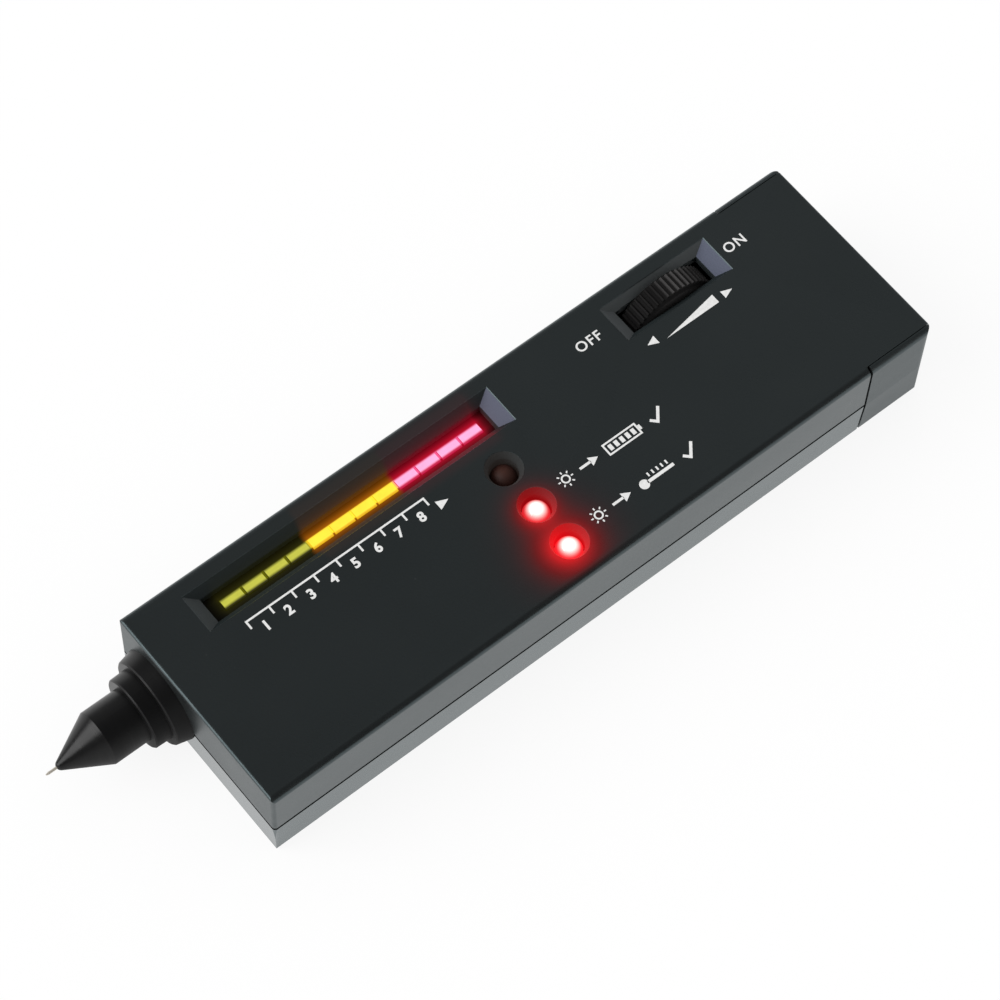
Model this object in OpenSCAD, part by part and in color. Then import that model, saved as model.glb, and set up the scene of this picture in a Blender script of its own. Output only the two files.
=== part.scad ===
// Hand-held gemstone tester: a flat two-part housing with a light bar, three round lamps, a thumbwheel,
// a heated probe with a sprung needle at the front and a slide-off battery door at the rear.
// X runs along the length, with the probe at -X. Z is up. The origin is the centre of the base face.

/* [Battery] */
// Length of the battery's case, without its terminals
battery_l = 45.5; // [44:0.1:48]
// Width of the battery's case
battery_w = 26.5; // [25:0.1:28]
// Height of the battery's case as it lies
battery_h = 17.5; // [16:0.1:19]
// Radius of the case's long edges
battery_edge_r = 1.6; // [0.5:0.1:3]
// Height of the two terminals
terminal_h = 3; // [2:0.1:4]
// Distance between the two terminals
terminal_pitch = 12.7; // [12:0.1:14]
// Diameter of the small round terminal
stud_d = 5.6; // [5:0.1:6.5]
// Thickness of the snap connector's cover
snap_t = 2.6; // [2:0.1:4]
// Thickness of the wall of a snap contact
contact_t = 0.6; // [0.4:0.05:0.9]

/* [Housing] */
// Thickness of the side and end walls
side_t = 2; // [1.6:0.1:3]
// Thickness of the roof
roof_t = 1.7; // [1.4:0.1:3]
// Thickness of the floor
floor_t = 1.7; // [1.4:0.1:3]
// Height of the seam between the two shells
seam_z = 9.2; // [7:0.1:10]
// Width of the groove at the seam
seam_gap = 0.65; // [0.2:0.05:0.8]
// Radius of the two long top edges
top_fillet = 1.2; // [0.5:0.1:1.5]
// Radius of the top edge at the front and rear ends
end_fillet = 0.5; // [0.3:0.1:1.2]
// Radius of the upright corners at the probe's end
nose_r = 0.7; // [0.3:0.1:2]
// Radius of the upright corners at the rear end
corner_r = 2; // [0.6:0.1:3]
// How far the walls lean in between the seam and the base
draft = 0.5; // [0:0.05:0.8]
// Chamfer round the base
base_chamfer = 0.3; // [0.2:0.1:1]
// Height of the lip that lines up the two shells
lip_h = 1.4; // [0.8:0.1:2]
// Thickness of the lip and of the door's tongues
lip_t = 0.8; // [0.5:0.1:1]
// Thickness of the stiffening ribs
rib_t = 1; // [0.8:0.1:1.5]
// Height of the stiffening ribs
rib_h = 0.9; // [0.5:0.1:1.2]
// Number of stiffening ribs under the light bar's stretch
rib_count = 4; // [2:1:6]

/* [Battery door] */
// Length of the door along the side of the housing
door_l = 14.6; // [11:0.1:20]
// Width of the groove between the door and the shells
door_gap = 0.5; // [0.2:0.05:0.8]
// Length of the door's tongues inside the shells
tongue_l = 6; // [4:0.5:9]
// Height of the door's tongues
tongue_h = 12; // [8:0.5:13]
// Width of the two stops in front of the battery
stop_w = 5; // [3:0.1:6]
// Thickness of the foam pad behind the battery
pad_t = 1.2; // [0.8:0.1:2]
// Number of finger grooves under the door
grip_count = 5; // [3:1:6]
// Depth of the finger grooves and of the arrows beside them
grip_depth = 0.5; // [0.3:0.1:0.7]
// Width of a finger groove
grip_w = 0.7; // [0.4:0.1:1]
// Length of the finger grooves
grip_l = 17; // [10:0.5:22]
// Length of the arrows beside the finger grooves
arrow_l = 5; // [3:0.1:6]

/* [Light bar] */
// Number of lamps of each colour in the bar
leds_per_colour = 4; // [3:1:5]
// Distance from one bar lamp to the next
led_pitch = 4.65; // [4.4:0.05:5.2]
// Length of one bar lamp
led_l = 4.2; // [3.8:0.05:4.3]
// Width of one bar lamp
led_w = 2; // [1.6:0.1:2.6]
// Height of one bar lamp above its legs
led_h = 6.5; // [6:0.1:7.5]
// Length of the legs between board and lamp
led_leg = 0.5; // [0.3:0.1:1]
// Depth of the bar's lit face below the top
bar_depth = 3.5; // [2.6:0.1:4]
// Distance from the front end to the slot's rim
slot_front = 10.6; // [9.5:0.1:14]
// Room between the bar's ends and the slot's upright end walls
slot_end = 2.15; // [1:0.05:3]
// How far the bar's middle lies behind the slot's middle
bar_back = 0.4; // [0:0.1:0.8]
// Width of the slot between its upright side walls
slot_w = 5.2; // [4.8:0.1:5.8]
// Length of the sloping faces at the ends of both recesses
bevel_end = 2.7; // [1.5:0.1:3.2]
// Width of the sloping faces along the sides of both recesses
bevel_side = 1.5; // [0.8:0.1:1.8]
// Depth of the sloping faces
bevel_depth = 2; // [1.4:0.1:2.4]
// Wall round a recess below the roof
frame_t = 1.5; // [1:0.1:1.8]
// Distance from the slot's rear rim to the battery's terminals
mid_room = 16.9; // [16:0.1:24]

/* [Lamps] */
// Diameter of a round lamp
lamp_d = 5; // [4:0.1:5.4]
// Diameter of a round lamp's foot
lamp_foot_d = 5.8; // [5.6:0.1:6.4]
// Thickness of a round lamp's foot
lamp_foot_t = 1; // [0.6:0.1:1.4]
// Height of a round lamp
lamp_h = 8.6; // [7.5:0.1:9]
// Length of the legs between board and round lamp
lamp_leg = 0.8; // [0.3:0.1:1.2]
// Diameter of the dished hole round a lamp, at the top
dish_d = 7; // [6.4:0.1:8]
// Depth of the dish
dish_depth = 1.4; // [0.8:0.1:1.6]
// Wall of the sleeve round a lamp
sleeve_t = 1; // [0.8:0.1:1.3]
// How far the sleeves reach below the frames of the recesses
sleeve_drop = 0.9; // [0:0.1:1.5]
// Distance from one round lamp to the next
lamp_pitch = 8.8; // [8.4:0.1:9.2]
// Distance from the slot's middle line to the first round lamp
lamp_first = 10.3; // [10:0.1:11]
// Distance from the slot's rear rim forward to the lamps
lamp_back = 7.7; // [5:0.1:10]

/* [Thumbwheel] */
// Diameter over the wheel's teeth
wheel_d = 20; // [17:0.2:20.6]
// Width of the wheel
wheel_w = 4.8; // [3.6:0.1:5]
// How far the wheel stands out of the top
wheel_proud = 1.2; // [0.4:0.1:2]
// Number of teeth round the wheel
teeth = 52; // [40:1:64]
// Height of a tooth
tooth_h = 0.45; // [0.3:0.05:0.6]
// Chamfer of the wheel's two rims
wheel_chamfer = 0.5; // [0.3:0.1:0.7]
// Distance from the rear end to the wheel's axle
wheel_rear = 31.8; // [30.5:0.1:36]
// Length of the wheel's recess between its upright end walls
recess_l = 18.6; // [18:0.1:20]
// Room between the wheel and the far wall
wheel_side = 3; // [2.8:0.1:5]
// Room between the wheel and the control behind it
wheel_gap = 0.3; // [0.2:0.1:1]
// Depth of the control's case
pot_depth = 3.4; // [2.8:0.1:5]
// Diameter of the control's case
pot_d = 11; // [9:0.1:11.4]
// Diameter of the control's shaft
shaft_d = 4; // [3:0.1:5]
// Room between the board and the control's case
pot_room = 2; // [1.5:0.1:2.4]
// Length of the control's terminals on the board
tag_l = 2.4; // [1.5:0.1:3]
// Depth of the recess in the wheel's outer face
hub_recess = 1.7; // [1.2:0.1:2]
// Diameter of the recess in the wheel's outer face
hub_recess_d = 14.4; // [10:0.2:15]
// Thickness of the control case's back wall
pot_back = 0.8; // [0.6:0.1:1.2]
// Length of the wheel's screw below its head
wheel_screw_l = 3; // [2:0.1:3.4]
// Diameter of the wheel's screw
wheel_screw_d = 1.6; // [1.2:0.1:2]

/* [Probe] */
// Distance from the slot's middle line to the probe's axis
probe_off = 3.7; // [2:0.1:5]
// Height of the probe's axis
probe_z = 10; // [9.6:0.1:11]
// Diameter of the collar at the housing
collar_d = 18.2; // [17:0.1:19]
// Diameter of the first rim of the collar
rim1_d = 16.9; // [15:0.1:17]
// Diameter of the second rim of the collar
rim2_d = 13.8; // [12.5:0.1:14.5]
// Distance from the housing to the first rim
rim1_out = 2.95; // [2:0.05:4]
// Distance from the first rim to the second
rim2_out = 3.1; // [2:0.05:4]
// Diameter of the probe's barrel
barrel_d = 10.4; // [9.6:0.1:11]
// Diameter of the barrel's shank inside the collar
shank_d = 9.8; // [9:0.1:10]
// Length of the barrel in front of the collar
barrel_l = 7; // [5:0.1:9]
// Length of the cone
cone_l = 8.6; // [7:0.1:10]
// Radius of the cone's round tip
cone_tip_r = 1; // [0.8:0.1:1.4]
// Diameter of the needle
needle_d = 0.5; // [0.4:0.05:0.9]
// Length of needle that stands out of the cone
needle_out = 2.1; // [1.8:0.1:3]
// Travel of the needle into the probe
needle_travel = 1.5; // [0.8:0.1:1.6]
// Diameter of the neck that passes through the front wall
neck_d = 13; // [12.6:0.1:14]
// Thickness of the nut on the neck
nut_t = 3; // [2:0.1:4]
// Width of the nut across its flats
nut_flats = 15; // [14.8:0.1:15.6]
// Diameter of the chamber that holds the spring and the carrier
chamber_d = 6.4; // [5.8:0.1:7]
// Length of the carrier behind the needle
carrier_l = 3; // [2:0.1:4]
// Diameter of the carrier's stem
stem_d = 2.4; // [2:0.1:2.6]
// Diameter of the heater behind the needle
heater_d = 3.2; // [2.4:0.1:3.8]
// Length of the heater
heater_l = 3; // [2:0.1:3.4]
// Distance from the heater forward to the start of the cone
heater_back = 1.2; // [1:0.1:2]
// Thickness of the guide that closes the chamber
guide_t = 2.5; // [2:0.1:3.5]
// Length of the neck behind its nut
neck_end = 1; // [0.5:0.1:1.5]
// Length of the stem that stands out behind the guide
stem_out = 0.5; // [0.3:0.1:1]
// Diameter of the spring's wire
spring_wire = 0.4; // [0.3:0.05:0.5]
// Mean diameter of the spring
spring_d = 4.2; // [3.8:0.1:4.6]
// Number of turns of the spring
spring_turns = 7; // [5:1:8]

/* [Board and leads] */
// Thickness of the circuit board
board_t = 1.6; // [1.2:0.1:2]
// Distance from the front end to the board
board_front = 14.5; // [13.5:0.1:15.5]
// Room between the board and the walls
board_room = 0.6; // [0.4:0.1:1]
// Room between the board and the snap connector
lead_room = 3.6; // [3:0.1:6]
// Diameter of the battery leads
lead_d = 1.2; // [0.8:0.1:1.4]
// Diameter of the probe's leads
fine_lead_d = 0.9; // [0.6:0.1:1]

/* [Board parts] */
// Thickness of legs, pins and terminals
pin_t = 0.5; // [0.4:0.05:0.6]
// Distance from one pin of a chip to the next
pin_pitch = 2.54; // [2:0.01:2.6]
// Numbers of pins of the two chips
chip_pins = [14, 8];
// Height of a chip's case
chip_h = 3.3; // [2.5:0.1:4]
// Width of a chip's case
chip_w = 6.4; // [6:0.1:7]
// Room below a chip's case
chip_lift = 0.5; // [0.3:0.1:0.8]
// Distance from the board's front edge to the large chip's middle
chip_in = 18; // [17.5:0.1:18.5]
// Distance from the first lamp's row to the large chip's middle
chip_down = 11.5; // [11:0.1:11.8]
// Distance from the lamps forward to the small chip's middle
small_chip_in = 10; // [9.5:0.1:10.2]
// Distance from the first lamp's row to the small chip's middle
small_chip_down = 14.5; // [14.2:0.1:14.8]
// Diameter of the sounder
buzzer_d = 12; // [10:0.1:12.4]
// Height of the sounder
buzzer_h = 6.6; // [5:0.1:7]
// Thickness of the sounder's walls
buzzer_t = 0.8; // [0.6:0.1:1.2]
// Diameter of the hole in the sounder's top
buzzer_hole_d = 2.4; // [1.5:0.1:3]
// Distance from the board's front edge to the sounder
buzzer_in = 36; // [35.7:0.1:36.5]
// Distance from the first lamp's row to the sounder
buzzer_down = 3.5; // [3.2:0.1:4]
// Diameter of a capacitor
cap_d = 5; // [4:0.1:5.4]
// Height of a capacitor
cap_h = 7; // [5:0.1:7.2]
// Distance from the board's front edge to the first capacitor
cap_in = 19.5; // [19:0.1:20]
// Distance from the first capacitor to the second
cap_pitch = 6.5; // [6:0.1:6.6]
// Distance from the lamps back to the third capacitor
cap_back = 8; // [7:0.1:8.5]
// Distance from the first lamp's row to the third capacitor
cap_down = 10; // [9:0.1:11]
// Side of a preset's case
trimmer_s = 6.2; // [5:0.1:6.6]
// Height of a preset's case
trimmer_h = 4.6; // [3:0.1:6]
// Height of a preset's round adjuster above its case
trimmer_knob_h = 0.6; // [0.4:0.1:1]
// Distance from the board's front edge to the first preset
trimmer_in = 5; // [4.5:0.1:5.3]
// Distance from the first preset to the second
trimmer_pitch = 7.4; // [7:0.1:7.8]
// Diameter of a resistor
resistor_d = 2.3; // [1.8:0.1:2.5]
// Length of a resistor's body
resistor_l = 6.3; // [5:0.1:6.6]
// Room below a resistor
resistor_lift = 0.4; // [0.2:0.1:0.8]
// Length of a resistor's straight leg at each end
resistor_leg = 1.6; // [1.2:0.1:1.8]
// Distance from the board's front edge to the first resistors
resistor_in = 15; // [14.5:0.1:15.5]
// Distance between two resistors in a row
resistor_step = 12; // [11.5:0.1:12]
// Distance from the near wall to the outer row of resistors
resistor_side = 2.2; // [2.1:0.1:2.4]
// Distance between the two rows of resistors
resistor_pitch = 3; // [2.8:0.1:3.1]
// Diameter of a transistor
transistor_d = 4.6; // [4:0.1:4.8]
// Height of a transistor's case
transistor_h = 4.5; // [4:0.1:5]
// Room below a transistor's case
transistor_lift = 2; // [1:0.1:2.5]
// Distance from one leg of a transistor to the next
transistor_leg = 1.27; // [1:0.01:1.4]
// Distance from the lamps to the transistors on both sides
transistor_off = 7.5; // [7.2:0.1:7.7]
// Distance from the first transistor to the second
transistor_pitch = 7; // [6.6:0.1:7.2]
// Distance from a lead's end to the board's edge
wire_in = 1.5; // [1.2:0.1:1.8]
// Length over which a lead bends
wire_bend = 3; // [2.4:0.1:3.4]

/* [Fasteners] */
// Diameter of the shell screws
screw_d = 2; // [1.6:0.1:2.4]
// Diameter of the screws' heads
screw_head_d = 3.8; // [3.4:0.1:4]
// Height of the screws' heads
screw_head_h = 1.4; // [1:0.1:1.8]
// Length of the shell screws below the head
shell_screw_l = 12; // [10:0.5:14]
// Length of the board screws below the head
board_screw_l = 6; // [4:0.5:7]
// Diameter of the screw bosses
boss_d = 5.2; // [4.8:0.1:5.6]
// Distance from the side walls to the rear shell screws
boss_side = 4; // [3.6:0.1:4.4]
// Distance from the board's rear edge to the rear shell screws
boss_back = 4.5; // [4:0.1:5]
// Distance from the front wall to the front shell screw
boss_front = 5.5; // [5:0.1:6]
// Distance from the lamps forward to the middle board screw
mid_screw_in = 18; // [17.8:0.1:18.4]
// Distance from the board's rear edge to the rear board screw
rear_screw_in = 6; // [5:0.1:6.4]
// Distance from the first lamp's row to the rear board screw
rear_screw_down = 2; // [1.5:0.1:2.5]
// Depth of a screw head's top in its hole
head_sunk = 0.8; // [0.4:0.1:1]

/* [Clearances] */
// Clearance of parts that only lie beside each other
side_clear = 0.15; // [0.1:0.01:0.25]
// Gap between the battery and the control beside it
bay_gap = 0.25; // [0.2:0.01:0.4]
// Clearance above and behind the battery
battery_clear = 0.3; // [0.2:0.05:0.5]
// Radial clearance of parts that slide or turn in each other
run_clear = 0.08; // [0.05:0.01:0.1]
// Radial clearance of parts that are pushed into each other
push_clear = 0.05; // [0.03:0.01:0.08]
// Clearance where one part rests on another
seat_clear = 0.1; // [0.05:0.01:0.15]
// Radial clearance round a round lamp in its hole
lamp_clear = 0.2; // [0.15:0.01:0.3]
// Clearance round the wheel as it turns
wheel_room = 0.6; // [0.4:0.05:0.7]

/* [Hidden] */
$fn = 48;
cut = 1;

// The light bar and the battery in a row give the length, the battery beside the wheel gives the width.
bar_l = 3 * leds_per_colour * led_pitch;
slot_l = bar_l + 2 * slot_end;
slot_rim_l = slot_l + 2 * bevel_end;
body_l = slot_front + slot_rim_l + mid_room + terminal_h + battery_l + battery_clear + pad_t + side_t;
body_w = 2 * side_t + battery_w + side_clear + bay_gap + pot_depth + wheel_gap + wheel_w + wheel_side;
body_h = floor_t + battery_h + battery_clear + roof_t;
front_x = -body_l / 2;
rear_x = body_l / 2;
inner_half = body_w / 2 - side_t;
roof_z = body_h - roof_t;

// Battery, with its terminals to the front, against the near wall.
battery_rear = rear_x - side_t - pad_t - battery_clear;
battery_front = battery_rear - battery_l;
battery_y0 = -inner_half + side_clear;
battery_mid_y = battery_y0 + battery_w / 2;
battery_mid_z = floor_t + battery_h / 2;
terminal_x = battery_front - terminal_h;
snap_rear = terminal_x - battery_clear;
snap_front = snap_rear - snap_t;
plus_y = battery_mid_y + terminal_pitch / 2;
minus_y = battery_mid_y - terminal_pitch / 2;
socket_d = stud_d + 2 * contact_t + 2 * run_clear;
contact_l = terminal_h - battery_clear;

// Thumbwheel and the control behind it, beside the battery.
pot_y0 = battery_y0 + battery_w + bay_gap;
pot_y1 = pot_y0 + pot_depth;
wheel_y0 = pot_y1 + wheel_gap;
wheel_y1 = wheel_y0 + wheel_w;
line_y = (wheel_y0 + wheel_y1) / 2;
wheel_x = rear_x - wheel_rear;
pot_front = wheel_x - pot_d / 2 - pot_room;
wheel_z = body_h + wheel_proud - wheel_d / 2;

// Light bar, lamps and board hang together below the top face.
slot_x = front_x + slot_front + slot_rim_l / 2;
slot_rear = slot_x + slot_rim_l / 2;
led_top = body_h - bar_depth;
led_proud = 0.2;
holder_top = led_top - led_proud;
frame_z = holder_top + seat_clear;
board_top = led_top - led_h - led_leg;
board_z = board_top - board_t;
lamp_x = slot_rear - lamp_back;
lamp_ys = [for (i = [0:2]) line_y - lamp_first - i * lamp_pitch];
board_x0 = front_x + board_front;
board_x1 = snap_front - lead_room;
board_half = inner_half - board_room;
tongue_y0 = pot_y0 + bay_gap;
lamp_hole_d = lamp_d + 2 * lamp_clear;
sleeve_z = frame_z - sleeve_drop;

// Places of the screws: three join the shells, three hold the board.
shell_screw_at = [
    [front_x + side_t + boss_front, -inner_half + 1.5 * boss_side],
    [board_x1 - boss_back, -inner_half + boss_side],
    [board_x1 - boss_back, inner_half - boss_side]
];
board_screw_at = [
    [board_x0 + boss_back, -inner_half + boss_side],
    [lamp_x - mid_screw_in, -inner_half + boss_side],
    [board_x1 - rear_screw_in, lamp_ys[0] - rear_screw_down]
];
counterbore = screw_head_h + head_sunk;

// Battery door.
door_x = rear_x - door_l;
roof_half = body_w / 2 - top_fillet - side_clear;
tongue_z0 = (body_h - tongue_h) / 2;
rebate_t = lip_t + side_clear;
door_floor = floor_t - battery_clear;

// Probe, measured outwards from the front wall.
probe_y = line_y - probe_off;
rim2_at = rim1_out + rim2_out;
cone_at = rim2_at + barrel_l;
tip_at = cone_at + cone_l;
needle_tip = tip_at + needle_out;
neck_l = side_t + nut_t + neck_end;
guide_front = guide_t - neck_l;
carrier_front = cone_at - heater_back - heater_l;
carrier_rear = carrier_front - carrier_l;
heater_front = carrier_front + heater_l;
stem_end = -neck_l - stem_out;
spring_len = carrier_rear - guide_front - 2 * seat_clear;
rim_round = 0.25;

// Places of the parts on the board.
parts_y = lamp_ys[0];
chip_at = [[board_x0 + chip_in, parts_y - chip_down], [lamp_x - small_chip_in, parts_y - small_chip_down]];
buzzer_at = [board_x0 + buzzer_in, parts_y - buzzer_down];
capacitor_at = [
    [board_x0 + cap_in, parts_y], [board_x0 + cap_in + cap_pitch, parts_y],
    [lamp_x + cap_back, parts_y - cap_down]
];
trimmer_at = [for (i = [0, 1]) [board_x0 + trimmer_in + i * trimmer_pitch, parts_y]];
resistor_at = [
    for (i = [0, 1], j = [0, 1])
        [board_x0 + resistor_in + i * resistor_step, resistor_side + j * resistor_pitch - inner_half]
];
transistor_at = [
    [lamp_x - transistor_off, parts_y], [lamp_x - transistor_off, parts_y - transistor_pitch],
    [lamp_x + transistor_off, parts_y + transistor_lift]
];

// Straight round and flat building shapes.
module rod_x(d, l) {
    rotate([0, 90, 0]) cylinder(d = d, h = l);
}

module rod_y(d, l) {
    rotate([-90, 0, 0]) cylinder(d = d, h = l);
}

module along_x(l) {
    rotate([90, 0, 90]) linear_extrude(l) children();
}

module along_y(l) {
    rotate([90, 0, 0]) linear_extrude(l, center = true) children();
}

module box(x, y, z) {
    translate([x[0], y[0], z[0]]) cube([x[1] - x[0], y[1] - y[0], z[1] - z[0]]);
}

// Rectangle with round corners.
module round_rect(l, w, r) {
    square([l - 2 * r, w], center = true);
    square([l, w - 2 * r], center = true);
    for (sx = [-1, 1], sy = [-1, 1])
        translate([sx * (l / 2 - r), sy * (w / 2 - r)]) circle(r);
}

// Outline of the housing across one direction: leaning in below the seam, round at the top.
module wall_outline(w, r) {
    half = w / 2;
    lean = draft * (1 - base_chamfer / seam_z);
    polygon([
        [draft + base_chamfer - half, 0], [half - draft - base_chamfer, 0],
        [half - lean, base_chamfer], [half, seam_z], [-half, seam_z], [lean - half, base_chamfer]
    ]);
    translate([-half, seam_z]) square([w, body_h - r - seam_z]);
    translate([r - half, seam_z]) square([w - 2 * r, body_h - seam_z]);
    for (s = [-1, 1])
        translate([s * (half - r), body_h - r]) circle(r);
}

// Block with tight upright corners at the probe's end and wide ones at the rear end.
module corner_form() {
    intersection() {
        linear_extrude(body_h) round_rect(body_l, body_w, nose_r);
        translate([-corner_r, 0, 0])
            linear_extrude(body_h) round_rect(body_l + 2 * corner_r, body_w, corner_r);
    }
}

// Outside of the closed housing.
module housing_form() {
    intersection() {
        translate([front_x, 0, 0]) along_x(body_l) wall_outline(body_w, top_fillet);
        along_y(body_w + cut) wall_outline(body_l, end_fillet);
        corner_form();
    }
}

// Recess with four sloping faces and an upright opening below them.
module recess_cut(l, w) {
    z = [frame_z - cut, body_h - bevel_depth, body_h, body_h + cut];
    intersection() {
        along_y(w + 2 * bevel_side) slope_outline(l / 2, bevel_end, z);
        rotate(90) along_y(l + 2 * bevel_end) slope_outline(w / 2, bevel_side, z);
    }
}

module slope_outline(half, slope, z) {
    polygon([
        [-half, z[0]], [half, z[0]], [half, z[1]], [half + slope, z[2]], [half + slope, z[3]],
        [-half - slope, z[3]], [-half - slope, z[2]], [-half, z[1]]
    ]);
}

// Moulded frame below the roof round a recess, joined to the far wall.
module recess_frame(x, l) {
    half_l = l / 2 + bevel_end + frame_t;
    near = line_y - slot_w / 2 - bevel_side - frame_t;
    box([x - half_l, x + half_l], [near, inner_half + side_t / 2], [frame_z, roof_z + roof_t / 2]);
}

// Opening for the probe's neck, along X through the front wall.
module neck_hole() {
    translate([front_x - cut, probe_y, probe_z]) rod_x(neck_d + 2 * side_clear, side_t + 2 * cut);
}

// Room for the wheel as it turns.
module wheel_space() {
    translate([wheel_x, wheel_y0 - wheel_room / 2, wheel_z])
        rod_y(wheel_d + 2 * wheel_room, wheel_w + wheel_room);
}

// Room for the control's case where the frame round the wheel's recess comes near it.
module pot_space() {
    translate([wheel_x, pot_y0 - bay_gap, wheel_z]) rod_y(pot_d + 2 * side_clear, pot_depth + 2 * bay_gap);
}

// Rebates in the side walls for the door's tongues.
module tongue_rebates() {
    for (s = [-1, 1])
        box([door_x - tongue_l - battery_clear, door_x + cut],
            s > 0 ? [inner_half - cut, inner_half + rebate_t] : [-inner_half - rebate_t, cut - inner_half],
            [tongue_z0 - battery_clear, tongue_z0 + tongue_h + battery_clear]);
}

// Lips of the bottom shell, or the rebates for them in the top shell when grown by a clearance.
module lips(grow) {
    x = [front_x + 2 * side_t - grow, door_x - tongue_l - side_t + grow];
    z = [seam_z - 2 * lip_t, seam_z + lip_h + grow];
    box(x, [inner_half - grow, inner_half + lip_t + grow], z);
    box(x, [-inner_half - lip_t - grow, grow - inner_half], z);
    box([front_x + side_t - lip_t - grow, front_x + side_t + grow],
        [side_t - inner_half - grow, probe_y - nut_flats / 2 - side_t + grow], z);
}

module rib_places(x0, x1) {
    for (i = [0:rib_count - 1])
        translate([x0 + (x1 - x0) * (i + 0.5) / rib_count - rib_t / 2, 0, 0]) children();
}

module top_shell() {
    near = line_y - slot_w / 2 - bevel_side - frame_t;
    color([0.13, 0.13, 0.135]) difference() {
        union() {
            difference() {
                housing_form();
                box([front_x - cut, rear_x + cut], [-body_w, body_w], [-cut, seam_z + seam_gap]);
                box([front_x + side_t, rear_x + cut], [-inner_half, inner_half], [0, roof_z]);
                box([door_x, rear_x + cut], [-body_w, body_w], [0, roof_z]);
                for (s = [-1, 1])
                    translate([0, s * (roof_half + body_w / 2), 0])
                        box([door_x, rear_x + cut], [-body_w / 2, body_w / 2], [0, body_h + cut]);
            }
            recess_frame(slot_x, slot_l);
            recess_frame(wheel_x, recess_l);
            for (y = lamp_ys) {
                translate([lamp_x, y, frame_z]) cylinder(d = dish_d + 1, h = roof_z - frame_z + roof_t / 2);
                translate([lamp_x, y, sleeve_z]) cylinder(d = lamp_hole_d + 2 * sleeve_t, h = roof_z - sleeve_z);
            }
            for (p = shell_screw_at)
                translate([p[0], p[1], seam_z]) cylinder(d = boss_d, h = roof_z - seam_z + roof_t / 2);
            rib_places(front_x + board_front, lamp_x - dish_d)
                box([0, rib_t], [-inner_half - side_t / 2, near + frame_t / 2],
                    [roof_z - rib_h, roof_z + roof_t / 2]);
        }
        translate([slot_x, line_y, 0]) recess_cut(slot_l, slot_w);
        translate([wheel_x, line_y, 0]) recess_cut(recess_l, slot_w);
        for (y = lamp_ys) {
            translate([lamp_x, y, sleeve_z - cut]) cylinder(d = lamp_hole_d, h = body_h);
            translate([lamp_x, y, body_h - dish_depth])
                cylinder(d1 = lamp_hole_d, d2 = dish_d, h = dish_depth);
            translate([lamp_x, y, body_h]) cylinder(d = dish_d, h = cut);
        }
        for (p = shell_screw_at)
            translate([p[0], p[1], seam_z - cut])
                cylinder(d = screw_d + 2 * push_clear, h = shell_screw_l + counterbore - seam_z + 2 * cut);
        neck_hole();
        wheel_space();
        pot_space();
        tongue_rebates();
        lips(side_clear);
    }
}

module bottom_shell() {
    saddle_half = pot_d / 2 + rib_t;
    color([0.15, 0.15, 0.155]) difference() {
        union() {
            difference() {
                housing_form();
                box([front_x - cut, rear_x + cut], [-body_w, body_w], [seam_z, body_h + cut]);
                box([front_x + side_t, rear_x + cut], [-inner_half, inner_half], [floor_t, body_h]);
                box([door_x, rear_x + cut], [-body_w, body_w], [-cut, body_h]);
            }
            lips(0);
            for (p = shell_screw_at)
                translate([p[0], p[1], floor_t / 2]) cylinder(d = boss_d, h = seam_z - floor_t / 2);
            for (p = board_screw_at)
                translate([p[0], p[1], floor_t / 2]) cylinder(d = boss_d, h = board_z - floor_t / 2);
            difference() {
                box([wheel_x - saddle_half, wheel_x + saddle_half], [pot_y0 + lip_t, pot_y1 - lip_t],
                    [floor_t / 2, board_z - battery_clear]);
                translate([wheel_x, pot_y0, wheel_z]) rod_y(pot_d + 2 * seat_clear, pot_depth);
            }
            for (y = [battery_y0, battery_y0 + battery_w - stop_w])
                translate([battery_front - seat_clear - rib_t, y, floor_t / 2])
                    cube([rib_t, stop_w, floor_t / 2 + 2 * rib_t]);
            rib_places(front_x + board_front, lamp_x)
                box([0, rib_t], [-inner_half - side_t / 4, inner_half + side_t / 4],
                    [floor_t / 2, floor_t + rib_h]);
        }
        for (p = shell_screw_at) {
            translate([p[0], p[1], -cut]) cylinder(d = screw_head_d + 2 * side_clear, h = counterbore + cut);
            translate([p[0], p[1], 0]) cylinder(d = screw_d + 4 * side_clear, h = seam_z + cut);
        }
        for (p = board_screw_at)
            translate([p[0], p[1], board_z - board_screw_l - cut])
                cylinder(d = screw_d + 2 * push_clear, h = board_screw_l + 2 * cut);
        neck_hole();
        wheel_space();
        tongue_rebates();
    }
}

// Screw with a pan head and a cross slot; the head's seat is at the origin and the shank runs to +Z.
module screw(l) {
    slot = screw_head_d / 8;
    difference() {
        union() {
            translate([0, 0, -screw_head_h]) cylinder(d = screw_head_d, h = screw_head_h);
            cylinder(d = screw_d, h = l);
        }
        for (a = [0, 90])
            translate([0, 0, -screw_head_h]) rotate(a)
                cube([screw_head_d * 0.6, slot, screw_head_h], center = true);
    }
}

module shell_screws() {
    color([0.62, 0.62, 0.64])
        for (p = shell_screw_at)
            translate([p[0], p[1], counterbore]) screw(shell_screw_l);
}

module board_screws() {
    color([0.66, 0.66, 0.68])
        for (p = board_screw_at)
            translate([p[0], p[1], board_top]) mirror([0, 0, 1]) screw(board_screw_l);
}

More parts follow.
